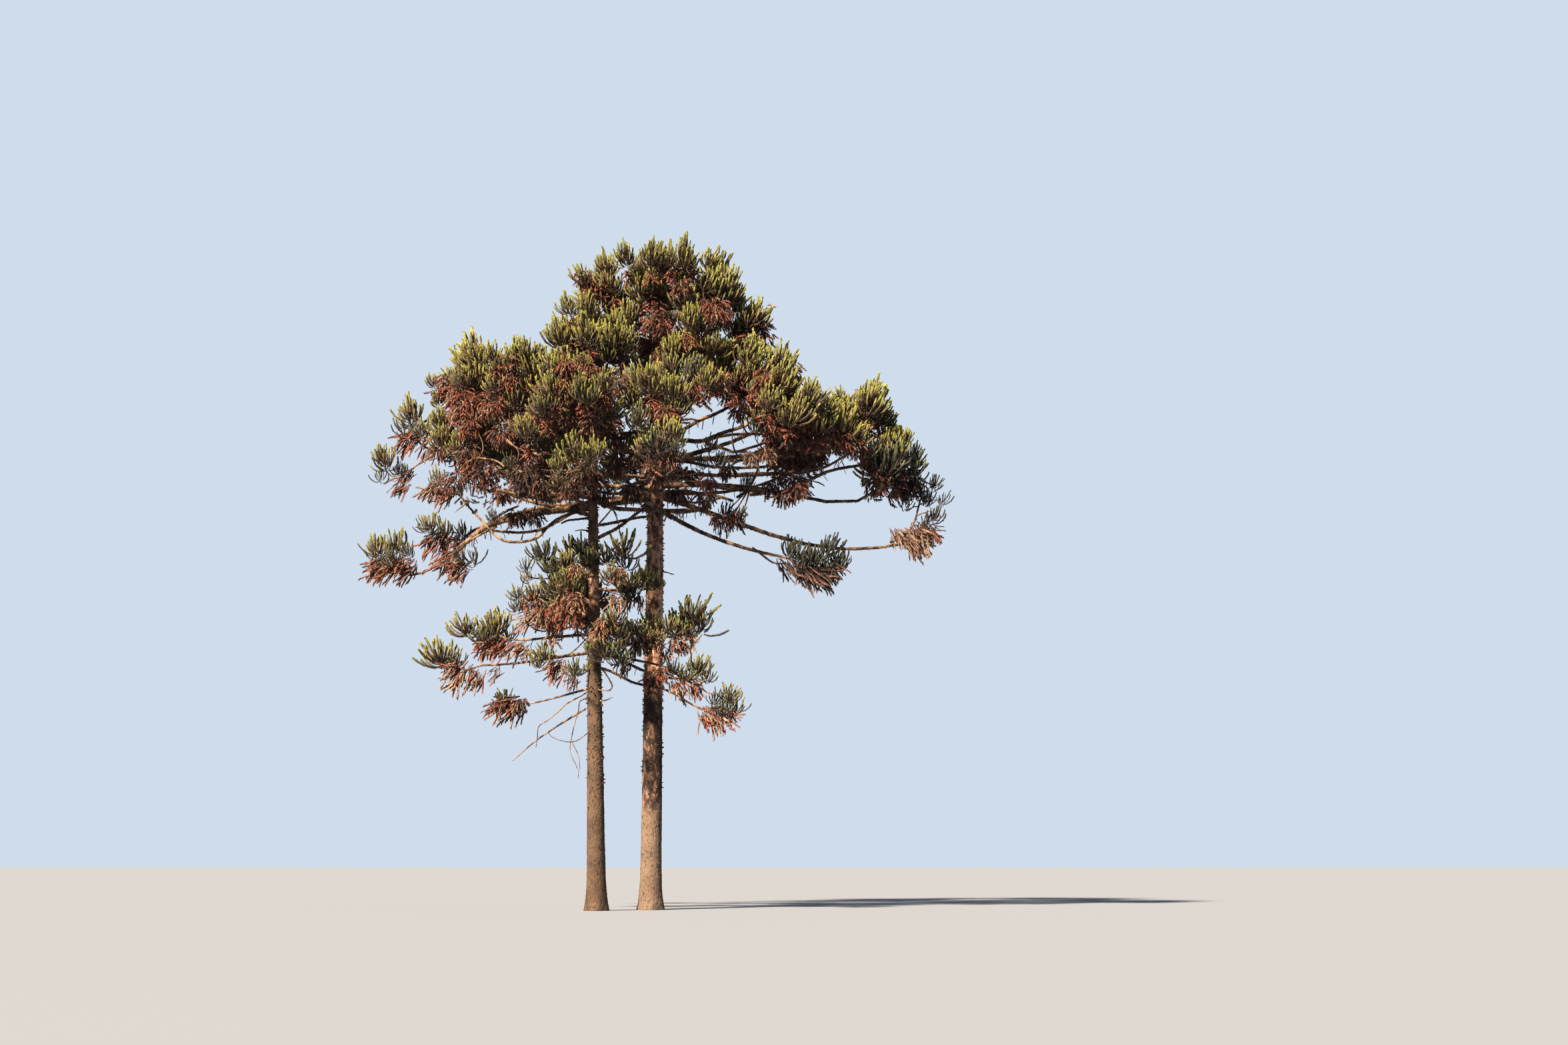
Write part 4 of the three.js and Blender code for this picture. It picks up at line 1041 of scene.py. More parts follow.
class Shoot:
    """A leafy shoot, 1 long, that sets out along +Z and bends evenly towards +X."""

    def __init__(self, bend, core, leaves, leaf_length, leaf_width, lean, wave=0.0):
        self.bend = math.radians(bend)
        self.core = core
        self.leaves = leaves
        self.leaf_length = leaf_length
        self.leaf_width = leaf_width
        self.lean = math.radians(lean)
        self.wave = wave
        self.places = []
        self.faces = []
        self.parts = []

    def heading(self, t):
        turned = min(1.0, max(0.0, (t - 0.06) / 0.72))
        return self.bend * turned + self.wave * math.sin(math.tau * t)

    def along(self, t):
        """The place and the frame at a share of the shoot's length."""
        steps = 32
        place = Vector((0, 0, 0))
        for i in range(round(steps * t)):
            angle = self.heading((i + 0.5) / steps)
            place += Vector((math.sin(angle), 0, math.cos(angle))) / steps
        angle = self.heading(t)
        way = Vector((math.sin(angle), 0, math.cos(angle)))
        side = Vector((math.cos(angle), 0, -math.sin(angle)))
        return place, way, side, way.cross(side)

    def face(self, part, *corners):
        first = len(self.places)
        self.places += corners
        self.faces.append(tuple(range(first, first + len(corners))))
        self.parts.append(part)

    def add_core(self):
        """A closed core whose rings are turned against each other, as the rows of leaves are."""
        sides = CORE_SIDES
        rings = []
        for i, (t, radius) in enumerate(self.core):
            place, way, side, cross = self.along(t)
            rings.append([
                place + (side * math.cos(a) + cross * math.sin(a)) * radius
                for a in (math.tau * (k + i / 2) / sides for k in range(sides))
            ])
        self.face(0, *reversed(rings[0]))
        for i, (low, high) in enumerate(zip(rings, rings[1:])):
            part = part_at(self.core[i][0])
            for k in range(sides):
                self.face(part, low[k], low[(k + 1) % sides], high[k])
                self.face(part, low[(k + 1) % sides], high[(k + 1) % sides], high[k])
        tip = self.along(1)[0]
        for k in range(sides):
            self.face(2, rings[-1][k], rings[-1][(k + 1) % sides], tip)

    def add_leaf(self, t, turn):
        """A stiff pointed leaf that stands off the shoot."""
        place, way, side, cross = self.along(t)
        out = side * math.cos(turn) + cross * math.sin(turn)
        span = way.cross(out) * (self.leaf_width / 2)
        root = place + out * self.core[1][1] * 0.5
        tip = root + (way * math.cos(self.lean) + out * math.sin(self.lean)) * self.leaf_length
        self.face(part_at(t), root + span, tip, root - span)

    def mesh(self, name):
        self.add_core()
        for i in range(self.leaves):
            self.add_leaf(0.1 + 0.8 * i / (self.leaves - 1), GOLDEN * i)
        mesh = bpy.data.meshes.new(name)
        mesh.from_pydata([tuple(p) for p in self.places], [], self.faces)
        mesh.attributes.new("part", "INT", "FACE").data.foreach_set("value", self.parts)
        return mesh


def part_at(t):
    """The part of a shoot at a share of its length: base, body or tip."""
    return 0 if t < 0.34 else 1 if t < 0.82 else 2


def collection_of(name, shoots):
    """A collection of ready shoots that nothing shows, for the trees to pick from."""
    collection = bpy.data.collections.new(name)
    for i, shoot in enumerate(shoots):
        collection.objects.link(bpy.data.objects.new(f"{name}_{i}", shoot.mesh(f"{name}_{i}")))
    return collection


# The sides of a shoot's core, its radius at shares of the length of each kind, and the bends in
# degrees that each kind comes in.
CORE_SIDES = 3
LIVE_CORE = [(0, 0.028), (0.28, 0.036), (0.58, 0.044), (0.82, 0.048), (0.97, 0.038)]
DEAD_CORE = [(0, 0.05), (0.4, 0.085), (0.9, 0.07)]
TASSEL_CORE = [(0, 0.03), (0.5, 0.05), (0.9, 0.035)]
LIVE_BENDS = [8, 28, 46, 62, 78]
DEAD_BENDS = [15, 45, 75, 105]
# Each kind's leaves: how many, how long and wide, and how many degrees they stand off the shoot.
LIVE_LEAVES = (13, 0.1, 0.05, 38)
DEAD_LEAVES = (15, 0.2, 0.12, 55)
TASSEL_LEAVES = (17, 0.1, 0.055, 42)
LIVE_SHOOTS = collection_of("live_shoot", [Shoot(bend, LIVE_CORE, *LIVE_LEAVES) for bend in LIVE_BENDS])
# The long thin tassels follow the short dead shoots, bend for bend.
TASSEL = len(DEAD_BENDS)
DEAD_SHOOTS = collection_of(
    "dead_shoot",
    [Shoot(bend, DEAD_CORE, *DEAD_LEAVES, wave=0.5) for bend in DEAD_BENDS]
    + [Shoot(bend, TASSEL_CORE, *TASSEL_LEAVES, wave=0.35) for bend in DEAD_BENDS],
)


def spray_tree(name, palette):
    """Shoots on points, each with its own turn, reach, shape and tint."""
    tree, maker, given = new_tree(
        name, {"Shoots": "NodeSocketCollection", "Spread": "NodeSocketFloat", "Seed": "NodeSocketInt"},
    )
    shoots = maker.add(
        "GeometryNodeCollectionInfo",
        {"Collection": given["Shoots"], "Separate Children": True, "Reset Children": True},
    )
    spread = given["Spread"]
    vary = maker.add(
        "FunctionNodeRandomValue", {"Min": 1 - spread, "Max": 1 + spread, "Seed": given["Seed"]},
    )
    size = maker.attribute("reach") * vary
    placed = maker.add(
        "GeometryNodeInstanceOnPoints",
        {
            "Points": given["Geometry"],
            "Instance": shoots,
            "Pick Instance": True,
            "Instance Index": maker.attribute("shape", "INT"),
            "Rotation": maker.attribute("turn", "QUATERNION"),
            "Scale": maker.add("ShaderNodeCombineXYZ", {"X": size, "Y": size, "Z": size}),
        },
    )
    sprays = maker.add("GeometryNodeRealizeInstances", {"Geometry": placed})
    key = maker.attribute("tint", "INT") * len(SHOOT_PARTS) + maker.attribute("part", "INT")
    for i, (tint, *colours) in enumerate(palette):
        for k, (part, colour) in enumerate(zip(SHOOT_PARTS, colours)):
            material = plain_material(f"{name}_{tint}_{part}", colour, 0.7)
            wanted = float(len(SHOOT_PARTS) * i + k)
            chosen = maker.add("FunctionNodeCompare", {"A": key, "B": wanted}, operation="EQUAL")
            sprays = maker.add(
                "GeometryNodeSetMaterial",
                {"Geometry": sprays, "Selection": chosen, "Material": material},
            )
    ends_with(maker, sprays)
    return tree


class Sprays:
    """Points that each become a shoot."""

    def __init__(self):
        self.places, self.turns, self.reaches, self.shapes, self.tints = [], [], [], [], []

    def add(self, place, way, towards, reach, shape, tint):
        """A shoot that sets out one way and bends towards another."""
        way = way.normalized()
        bend = towards - way * towards.dot(way)
        if bend.length < 0.05:
            bend = way.orthogonal()
        bend.normalize()
        turn = Matrix((bend, way.cross(bend), way)).transposed().to_quaternion()
        self.places.append(tuple(place))
        self.turns += tuple(turn)
        self.reaches.append(reach)
        self.shapes.append(shape)
        self.tints.append(tint)

    def piece(self, name, tree, shoots, seed):
        mesh = bpy.data.meshes.new(name)
        mesh.from_pydata(self.places, [], [])
        for key, kind, values in (
            ("turn", "QUATERNION", self.turns), ("reach", "FLOAT", self.reaches),
            ("shape", "INT", self.shapes), ("tint", "INT", self.tints),
        ):
            mesh.attributes.new(key, kind, "POINT").data.foreach_set("value", values)
        return grown(name, mesh, tree, {"Shoots": shoots, "Spread": 0.12, "Seed": seed})


def jitter(amount):
    return Vector([chance.uniform(-amount, amount) for _ in range(3)])


def shape_for(bends, wanted):
    """The ready shoot whose bend is nearest to the one wanted."""
    return min(range(len(bends)), key=lambda i: abs(bends[i] - wanted))


# The brushes: where they stand on each mass.


def in_gap(place):
    """Whether a place shows, from the front, where the sky is seen through the crown."""
    share = -CAMERA_PLACE[1] / (place.y - CAMERA_PLACE[1])
    across = CAMERA_PLACE[0] + (place.x - CAMERA_PLACE[0]) * share
    up = CAMERA_PLACE[2] + (place.z - CAMERA_PLACE[2]) * share
    m = SEEN_MARGIN
    return any(a - m < across < b + m and c - m < up < d + m for a, b, c, d in SEEN_THROUGH)


def brush_places(mass, others, taken):
    """Places for brushes over a mass's outer side, as far apart as they need."""
    count = max(3, round(mass.area() / BRUSH_COVERS))
    offset = chance.uniform(0, math.tau)
    reach = BRUSH_REACH * min(1.0, 0.55 + 0.45 * min(mass.half) / 1.1)
    lowest = mass.middle.z - mass.half.z * 0.75
    low = mass.name in LOW
    for i in range(count):
        z = 1 - 1.45 * (i + 0.5) / count
        ring = math.sqrt(1 - z * z)
        turn = GOLDEN * i + offset
        out = Vector((ring * math.cos(turn), ring * math.sin(turn), z)) + jitter(0.12)
        out.normalize()
        axis = (Vector((out.x / mass.half.x, out.y / mass.half.y, 0)) * 0.55 + UP * 0.85).normalized()
        tip = mass.middle + Vector([out[k] * mass.half[k] for k in range(3)])
        tip.z = min(tip.z, HIGHEST)
        if out.z < BARE_BELOW.get(mass.name, -1) or any(other.depth(tip) < BURIED for other in others):
            continue
        base = tip - axis * reach * 0.9 - Vector((out.x, out.y, 0)) * reach * 0.25
        # The side that faces the viewer is built of tufts.
        if base.y < -1.3 if low else out.y < -0.25 and out.z < 0.8:
            continue
        base.z = max(base.z, lowest)
        if in_gap(base + axis * reach * 0.4) or any((base - place).length < BRUSH_ROOM for place in taken):
            continue
        taken.append(base)
        mass.brushes.append((base, axis, reach, out))


taken = [Vector(row[1:4]) - UP * 0.3 for row in TUFTS if row[0] in ("head", "live")]
for mass in MASSES.values():
    if mass.name not in TIPS:
        brush_places(mass, [other for other in MASSES.values() if other is not mass], taken)

boughs = Limbs()
limbs = Limbs()
twigs = Limbs()
live = {part: Sprays() for part in (*CROWN_PARTS, "tufts")}
dead = {part: Sprays() for part in ("left_front", "left_back", "right_front", "right_back", "low")}


def is_low(place):
    """Whether a place is among the lower whorls, which reach highest round the second stem."""
    return place.z < 11.3 or (place.z < 13.6 and abs(place.x + 1) < 3.5)


def dead_at(place):
    """The dead sprays that a place belongs to."""
    if is_low(place):
        return dead["low"]
    side = "left" if place.x < 0 else "right"
    return dead[side + ("_front" if place.y < -2.2 else "_back")]


def through(places):
    """A smooth line that passes through given places, in four steps between each two."""
    steps = 4
    ends = [places[0] * 2 - places[1], *places, places[-1] * 2 - places[-2]]
    line = []
    for a, b, c, d in zip(ends, ends[1:], ends[2:], ends[3:]):
        for i in range(steps):
            t = i / steps
            bend = (a * 2 - b * 5 + c * 4 - d) * t**2 + (b * 3 - c * 3 + d - a) * t**3
            line.append((b * 2 + (c - a) * t + bend) * 0.5)
    line.append(places[-1])
    return line


for first, last, fringe, places in SEEN_LIMBS:
    line = through([Vector(place) for place in places])
    boughs.add(tapered(line, first, last))
    hangs = dead_at(line[-1])
    for _ in range(fringe * 2):
        start = line[int(len(line) * chance.uniform(0.3, 1.0))] - UP * last * 0.5
        size = chance.uniform(0.22, 0.42)
        way = jitter(0.5) - UP
        hangs.add(start, way, jitter(1), size, TASSEL + chance.randrange(2), chance.choice(FRINGE_TINTS))


def along_bough(mass, start, set_in):
    """Adds a mass's packed bough, set into what bears it, and the limb that goes on into the mass."""
    line = centre_line(f"bough_{mass.name}", start, 14)
    first, second = line[0][0], line[1][0]
    line = [(first + (first - second).normalized() * set_in, line[0][1]), *line]
    boughs.add(line)
    last, radius = line[-1]
    way = (last - line[-3][0]).normalized()
    goal = mass.middle + Vector((0, 0, -0.25 * mass.half.z))
    reach = (goal - last).length
    inner = bezier(last, way * reach * 0.4, goal, (way + UP).normalized() * reach * 0.3, 5)
    inner = tapered(inner, radius, radius * 0.55)
    limbs.add(inner)
    return inner


def from_mass(mass, start):
    """Adds a slender limb to a mass that stands clear, from the middle of the one that it grows from."""
    goal = mass.middle - UP * 0.4 * mass.half.z
    span = goal - start
    line = bezier(start - UP * 0.5, span * 0.5 - UP * 0.3, goal, span * 0.15 + UP * 0.5, 12)
    line = tapered(line, 0.055, 0.03)
    limbs.add(line)
    return line


def from_stem(mass, stem):
    """Adds a limb that leaves a stem below a mass and rises into it."""
    goal = mass.middle + Vector((0, 0, -0.3 * mass.half.z))
    reach = (goal - stem.at(min(goal.z, stem.height))).xy.length
    rise = 0.1 if mass.name in LOW else 0.35 + 0.16 * reach
    start = stem.at(min(goal.z - rise, stem.height - 0.4))
    out = goal - start
    flat = Vector((out.x, out.y, 0))
    radius = 0.034 + 0.007 * flat.length
    line = bezier(start, flat * 0.45, goal, out * 0.3 + UP * 0.12 * flat.length, 14)
    line = tapered(line, radius, radius * 0.5)
    limbs.add(line)
    return line


def carrier(mass):
    """The limb that carries a mass, from its stem or bough to the mass's middle."""
    if mass.name in LED_TO:
        return min(boughs.lines, key=lambda line: (line[-1][0] - mass.middle).length)
    source = GROWS_FROM.get(mass.name)
    stem = STEMS["second" if mass.name in SECOND_STEM_MASSES else "main"]
    start = MASSES[source].middle if source else stem.at(min(mass.middle.z, stem.height))
    if f"bough_{mass.name}" in BOUGHS:
        return along_bough(mass, start, 0.2 if source else 0.35)
    return from_mass(mass, start) if source else from_stem(mass, stem)


def ring_ways(axis, count):
    """Directions square to an axis, a golden angle apart."""
    side = axis.orthogonal().normalized()
    cross = axis.cross(side)
    offset = chance.uniform(0, math.tau)
    for i in range(count):
        turn = GOLDEN * i + offset
        yield (i + 0.5) / count, side * math.cos(turn) + cross * math.sin(turn)


def brush(sprays, place, axis, reach, count, tone, rise):
    """A candelabrum of live shoots: the outer ones set out lower and more sideways, and turn up."""
    lean = jitter(0.2)
    # A flatter one, with less rise, is looser too.
    loose = 0.7 - rise
    for u, out in ring_ways(axis, count):
        spread = math.radians(4 + (70 + 36 * loose) * u**0.7 + chance.uniform(-12, 12))
        way = axis * math.cos(spread) + out * math.sin(spread) + jitter(loose * 0.4)
        up = rise * (0.9 - u) + chance.uniform(-0.14, 0.08)
        start = place + out * reach * (0.03 + 0.1 * u) + axis * reach * up
        start += jitter(0.16) * loose * reach
        bend = math.degrees(spread) * (1 - loose * 0.4) + chance.uniform(-16, 14)
        size = reach * (1.02 - rise + 0.2 * u + out.dot(lean)) * chance.uniform(0.74, 1.12)
        tint = int(1.4 + tone * 3.4 - 0.8 * u + chance.uniform(-0.5, 0.6))
        towards = axis + UP * 0.7 + jitter(loose)
        tint = min(len(LIVE_SPRAYS) - 1, max(0, tint))
        sprays.add(start, way, towards, size, shape_for(LIVE_BENDS, bend), tint)


def mop(sprays, place, axis, reach, count, tints):
    """A clump of short knobby dead shoots, with some long tassels that hang from it."""
    down = (axis * 0.2 - UP).normalized()
    for u, out in ring_ways(down, round(count * 1.25)):
        hangs = chance.random() < TASSEL_SHARE
        spread = math.radians(10 + 110 * u**0.8 + chance.uniform(-20, 20))
        way = down * math.cos(spread) + out * math.sin(spread) + jitter(0.3)
        away = chance.uniform(0.1, 0.62)
        start = place + down * reach * (0.3 - 0.75 * u + chance.uniform(-0.2, 0.25)) + out * reach * away
        size = reach * chance.uniform(0.5, 0.75) if hangs else chance.uniform(0.24, 0.42)
        bend = shape_for(DEAD_BENDS, math.degrees(spread) * 0.95 + chance.uniform(-25, 30))
        sprays.add(start, way, down + jitter(0.4), size, bend + TASSEL * hangs, chance.choice(tints))


def sweep(sprays, place, out, reach, count, tints):
    """Dead shoots that all set out one way from a twig, and droop."""
    for _ in range(count):
        start = place + jitter(0.32) * reach + out * chance.uniform(-0.35, 0.3) * reach
        way = out * 0.7 + jitter(0.5) - UP * chance.uniform(0.2, 0.7)
        size = reach * chance.uniform(0.65, 1.15)
        bend = shape_for(DEAD_BENDS, chance.uniform(15, 60))
        sprays.add(start, way, -UP + out * 0.2, size, bend + TASSEL, chance.choice(tints))


def skirt(sprays, place, axis, reach, count, tints):
    """Dead shoots round the twig under a live brush, that set out sideways and droop."""
    for u, out in ring_ways(axis, count):
        start = place - axis * reach * (0.25 + 0.4 * u) + jitter(0.04)
        way = out * 0.9 + axis * (0.25 - 0.5 * u) + jitter(0.3)
        size = chance.uniform(0.26, 0.5)
        bend = shape_for(DEAD_BENDS, chance.uniform(20, 90))
        sprays.add(start, way, -UP + jitter(0.25), size, bend, chance.choice(tints))


def fill(sprays, line, mass, count):
    """Shoots in the shade inside a mass, round its own limb, mostly in the painted shade tint."""
    inside = [place for place, radius in line if mass.depth(place) < 1.0] or [line[-1][0]]
    for _ in range(count):
        place = chance.choice(inside) + jitter(1) * 0.5 * min(mass.half)
        way = jitter(1) + UP * 0.2
        size = chance.uniform(0.28, 0.5)
        if not in_gap(place):
            towards = jitter(1)
            bend = chance.randrange(len(DEAD_BENDS))
            sprays.add(place, way, towards, size, bend, chance.choice(FILL_TINTS))


def add_twig(fork, way, base, arrives, widens, last):
    """A twig from a limb to a brush, thicker at its fork the longer it is."""
    gap = (base - fork).length
    line = bezier(fork, way * gap * 0.35, base, arrives * gap * 0.35, 6)
    twigs.add(tapered(line, 0.02 + widens * gap, last))


def grow(mass, part):
    """The limb of a mass, its brushes, and the twigs that bear them."""
    line = carrier(mass)
    places = [place for place, radius in line]
    low = mass.name in LOW
    for base, axis, reach, out in mass.brushes:
        # A twig leaves its limb a little before the place that is nearest to the brush.
        back = [(place - base).length + 0.4 * i / len(places) for i, place in enumerate(places)]
        k = max(1, min(len(places) - 2, back.index(min(back)) - 2))
        add_twig(places[k], (places[k + 1] - places[k]).normalized(), base, axis, 0.012, 0.016)
        if mass.is_dead(out):
            size = MOP_REACH * chance.uniform(1 - MOP_REACH_SPREAD, 1 + MOP_REACH_SPREAD)
            mop(dead_at(base), base + axis * 0.2, axis, size, MOP_SHOOTS, chance.choice(MOP_TINTS))
        else:
            tone = mass.tone + chance.uniform(-0.35, 0.35)
            brush(live[part], base, axis, reach, BRUSH_SHOOTS, tone, LOW_RISE if low else RISE)
            skirt(dead_at(base), base, axis, reach, UNDER_SHOOTS, SKIRT_TINTS)
    if not low:
        fill(dead_at(mass.middle), line, mass, INNER_SHOOTS * max(4, len(mass.brushes)))


for part, rows in CROWN_PARTS.items():
    for row in rows:
        grow(MASSES[row[0]], part)
for name in TIPS:
    carrier(MASSES[name])

# Limbs of the far side, which doesn't show, all on the main stem: the height where each leaves it,
# its bearing, reach, rise and sag, and its radius.
FAR_LIMBS = [
    (15.3, 160, 5.0, 0.4, 0.3, 0.062),
    (15.9, -150, 4.5, 0.5, 0.3, 0.06),
    (15.7, 110, 4.8, 0.6, 0.3, 0.06),
    (15.3, 60, 4.8, 0.5, 0.3, 0.06),
    (16.1, 22, 5.6, 0.3, 0.16, 0.066),
    (16.0, 80, 4.6, 0.7, 0.3, 0.06),
    (16.6, 135, 4.6, 0.9, 0.3, 0.06),
]
for leaves, bearing, reach, rise, sag, radius in FAR_LIMBS:
    start = STEMS["main"].at(leaves)
    angle = math.radians(bearing)
    end = start + Vector((reach * math.cos(angle), reach * math.sin(angle), rise))
    line = [start.lerp(end, i / 16) - UP * sag * math.sin(math.pi * i / 16) for i in range(17)]
    limbs.add(tapered(line, radius, radius * 0.5))


def nearest_limb(place):
    """The place on a limb that is nearest to another place, and the limb's direction there."""
    best = None
    for line in boughs.lines + limbs.lines:
        for i in range(1, len(line) - 1):
            away = (line[i][0] - place).length
            if best is None or away < best[0]:
                best = (away, line[i][0], (line[i + 1][0] - line[i][0]).normalized())
    return best[1], best[2]


def live_part(kind, place):
    """The piece that a tuft's live shoots are joined into."""
    if is_low(place):
        return "low_whorls"
    if kind != "head":
        return "tufts"
    if place.z > 20.5:
        return "dome"
    return "left_crown" if place.x < -1.5 else "right_crown"


def tuft(kind, place, width, tone):
    """A tuft that shows singly, with the twig that bears it."""
    fork, way = nearest_limb(place)
    low = is_low(place)
    out = Vector((place.x, place.y, 0)).normalized()
    axis = (UP + out * 0.3).normalized()
    tints = next(tints for limit, tints in (LOW_TINTS if low else CROWN_TINTS) if tone < limit)
    if kind in TUFT_SHOOTS:
        reach = width / (1.25 if low else 1.08)
        base = place - axis * reach * 0.5
        count = round(TUFT_SHOOTS[kind] * min(1.4, max(0.7, width)) ** TUFT_GROWTH)
        brush(live[live_part(kind, place)], base, axis, reach, count, tone, LOW_RISE if low else RISE)
        if kind == "head":
            skirt(dead_at(base), base, axis, reach * 0.9, UNDER_SHOOTS, HEAD_SKIRT_TINTS)
        arrives = axis
    elif kind == "mop":
        reach = width / 1.45
        base = place + UP * reach * 0.25
        mop(dead_at(place), base, axis, reach, round(MOP_SHOOTS * 1.15 * width), tints)
        arrives = out + UP * 0.2
    else:
        reach = width / 1.3
        base = place + UP * reach * 0.3 - out * reach * 0.2
        sweep(dead_at(place), base, out, reach, round(SWEEP_SHOOTS * width), tints)
        arrives = out
    add_twig(fork, way, base, arrives.normalized(), 0.01, 0.014)


for kind, x, y, z, width, tone in TUFTS:
    tuft(kind, Vector((x, y, z)), width, tone)

# The height where the dead limb leaves the second stem.
DEAD_LIMB_HEIGHT = 7.3
boughs.add(centre_line("dead_limb", STEMS["second"].at(DEAD_LIMB_HEIGHT), 12))

live_tree = spray_tree("live_sprays", LIVE_SPRAYS)
dead_tree = spray_tree("dead_sprays", DEAD_SPRAYS)
masses_of = {part: [row[0] for row in rows] for part, rows in CROWN_PARTS.items()} | {"tufts": TIPS}
for seed, (part, names) in enumerate(masses_of.items()):
    piece = live[part].piece(f"{part}_shoots", live_tree, LIVE_SHOOTS, seed)
    shown_with(piece, "foliage", *[f"foliage_{name}" for name in names])
for seed, (part, sprays) in enumerate(dead.items()):
    piece = sprays.piece(f"{part}_dead_shoots", dead_tree, DEAD_SHOOTS, seed)
    shown_with(piece, "dead_foliage")

MAIN_BARK = bark_material("main_bark", MAIN_TONES, MAIN_PATCH_AND_PAINTED_DAPPLE_ZONES, 24.0, 0.02)
SECOND_BARK = bark_material("second_bark", SECOND_TONES, SECOND_ZONES, 24.0, 0.02)
BOUGH_BARK = bark_material("bough_bark", BOUGH_TONES, BOUGH_PAINTED_DAPPLE_ZONES, 34.0, 0.012)
TWIG_BARK = plain_material("twig_bark", TWIG_COLOUR, 0.85)

# Each piece of limbs: its lines, the sides of its tubes, the step between rings, how far noise pushes
# them as a share of the radius, the noise's scale, the stubs on a square metre, its finish, and the
# solids that it stands for.
LIMB_PIECES = {
    "boughs": (boughs, 10, 0.06, 0.6, 14.0, 60.0, BOUGH_BARK, ["dead_limb", *BOUGHS]),
    "inner_limbs": (limbs, 8, 0.1, 0.5, 14.0, 30.0, BOUGH_BARK, []),
    "twigs": (twigs, 4, 0.18, 0.0, 10.0, 0.0, TWIG_BARK, []),
}
for name, (lines, sides, step, relief, grain, stubs, finish, nodes) in LIMB_PIECES.items():
    values = {
        "Sides": sides, "Step": step, "Relief": relief, "Grain": grain, "Stubs": stubs, "Finish": finish,
    }
    piece = grown(name, lines.source(name), LIMB_TREE, values)
    shown_with(piece, "bough_bark", *nodes)

# The stems: rings that are level and crowd where the bare trunk shows, roughened by the bark's plates.
FLARE = {"rib": 0.08, "ribs": 4, "reach": 0.42}


def stem_source(name, stem, sides, fine, coarse, shows):
    """A stem's smooth surface, with fine rings up to where its bare trunk ends."""
    levels = [shows * i / fine for i in range(fine)]
    levels += [shows + (stem.height - shows) * i / coarse for i in range(coarse + 1)]
    places = []
    for level in levels:
        middle, radius = stem.at(level), stem.radius(level)
        fade = math.exp(-level / FLARE["reach"])
        for k in range(sides):
            turn = math.tau * k / sides
            here = radius * (1 + fade * FLARE["rib"] * math.cos(FLARE["ribs"] * turn))
            places.append((middle.x + here * math.cos(turn), middle.y + here * math.sin(turn), level))
    faces = [tuple(reversed(range(sides))), tuple(range(len(places) - sides, len(places)))]
    for i in range(len(levels) - 1):
        for k in range(sides):
            low, next_low = i * sides + k, i * sides + (k + 1) % sides
            faces.append((low, next_low, next_low + sides, low + sides))
    mesh = bpy.data.meshes.new(name)
    mesh.from_pydata(places, [], faces)
    mesh.shade_smooth()
    return mesh


def bark_tree():
    """Bark plates pushed out of a stem's surface, with the cracks between them, and scars in rings."""
    tree, maker, given = new_tree(
        "bark_relief",
        {
            "Plate": "NodeSocketFloat",
            "Depth": "NodeSocketFloat",
            "Flakes": "NodeSocketFloat",
            "Finish": "NodeSocketMaterial",
        },
    )
    place = maker.add("GeometryNodeInputPosition")
    height = maker.add("ShaderNodeSeparateXYZ", {"Vector": place}, output="Z")
    tall = maker.add("ShaderNodeVectorMath", {0: place, 1: (1.0, 1.0, 0.6)}, operation="MULTIPLY")
    warp = maker.add("ShaderNodeTexNoise", {"Vector": place, "Scale": 5.0, "Detail": 2.0}, output="Color")
    bent = maker.add("ShaderNodeVectorMath", {0: warp, "Scale": 0.16}, operation="SCALE")
    bent = maker.add("ShaderNodeVectorMath", {0: tall, 1: bent}, operation="ADD")
    plates = maker.add("ShaderNodeTexVoronoi", {"Vector": bent, "Scale": 1 / given["Plate"]}, feature="F1")
    fine = maker.add("ShaderNodeTexNoise", {"Vector": tall, "Scale": 30.0, "Detail": 3.0, "Roughness": 0.7})
    broad = maker.add("ShaderNodeTexNoise", {"Vector": place, "Scale": 2.2, "Detail": 2.0})
    rings = maker.add("ShaderNodeMath", {0: (height + broad * 0.5) * 14}, operation="SINE")
    scars = maker.add("ShaderNodeMath", {0: rings - 0.9, 1: 0.0}, operation="MAXIMUM")
    foot = maker.add("ShaderNodeMath", {0: height * 8, 1: 1.0}, operation="MINIMUM")
    relief = (0.5 - plates) * 0.9 + (fine - 0.5) * 0.9 + (broad - 0.5) * 1.2 + scars * 3
    normal = maker.add("GeometryNodeInputNormal")
    push = maker.add(
        "ShaderNodeVectorMath",
        {0: normal, "Scale": relief * given["Depth"] * foot},
        operation="SCALE",
    )
    bark = maker.add("GeometryNodeSetPosition", {"Geometry": given["Geometry"], "Offset": push})
    # The bark flakes more and more from here up.
    share = maker.add("ShaderNodeMapRange", {"Value": height, "From Min": 3.5, "From Max": 8.0})
    flakes = maker.studs(bark, given["Flakes"] * share, (0.03, 0.03, 0.02), (0.07, 0.07, 0.05))
    bark = maker.add("GeometryNodeRealizeInstances", {"Geometry": maker.joined(bark, flakes)})
    bark = maker.add("GeometryNodeSetMaterial", {"Geometry": bark, "Material": given["Finish"]})
    ends_with(maker, bark)
    return tree


BARK_TREE = bark_tree()
# Each stem's mesh: its sides, the fine rings of its bare trunk, the coarse ones above, and the height
# where the foliage starts to hide it.
STEM_MESHES = {
    "main_stem": ("main", 104, 500, 60, 15.5, MAIN_BARK),
    "second_stem": ("second", 96, 470, 50, 14.5, SECOND_BARK),
}
for name, (stem, sides, fine, coarse, shows, finish) in STEM_MESHES.items():
    source = stem_source(f"{name}_bark", STEMS[stem], sides, fine, coarse, shows)
    values = {"Plate": 0.06, "Depth": 0.02, "Flakes": 40.0, "Finish": finish}
    piece = grown(f"{name}_bark", source, BARK_TREE, values)
    shown_with(piece, "bark", name)


# Floor, backdrop, light and camera.


def stage_piece(name, mesh, material):
    mesh.materials.append(material)
    piece = new_object(name, mesh)
    return piece


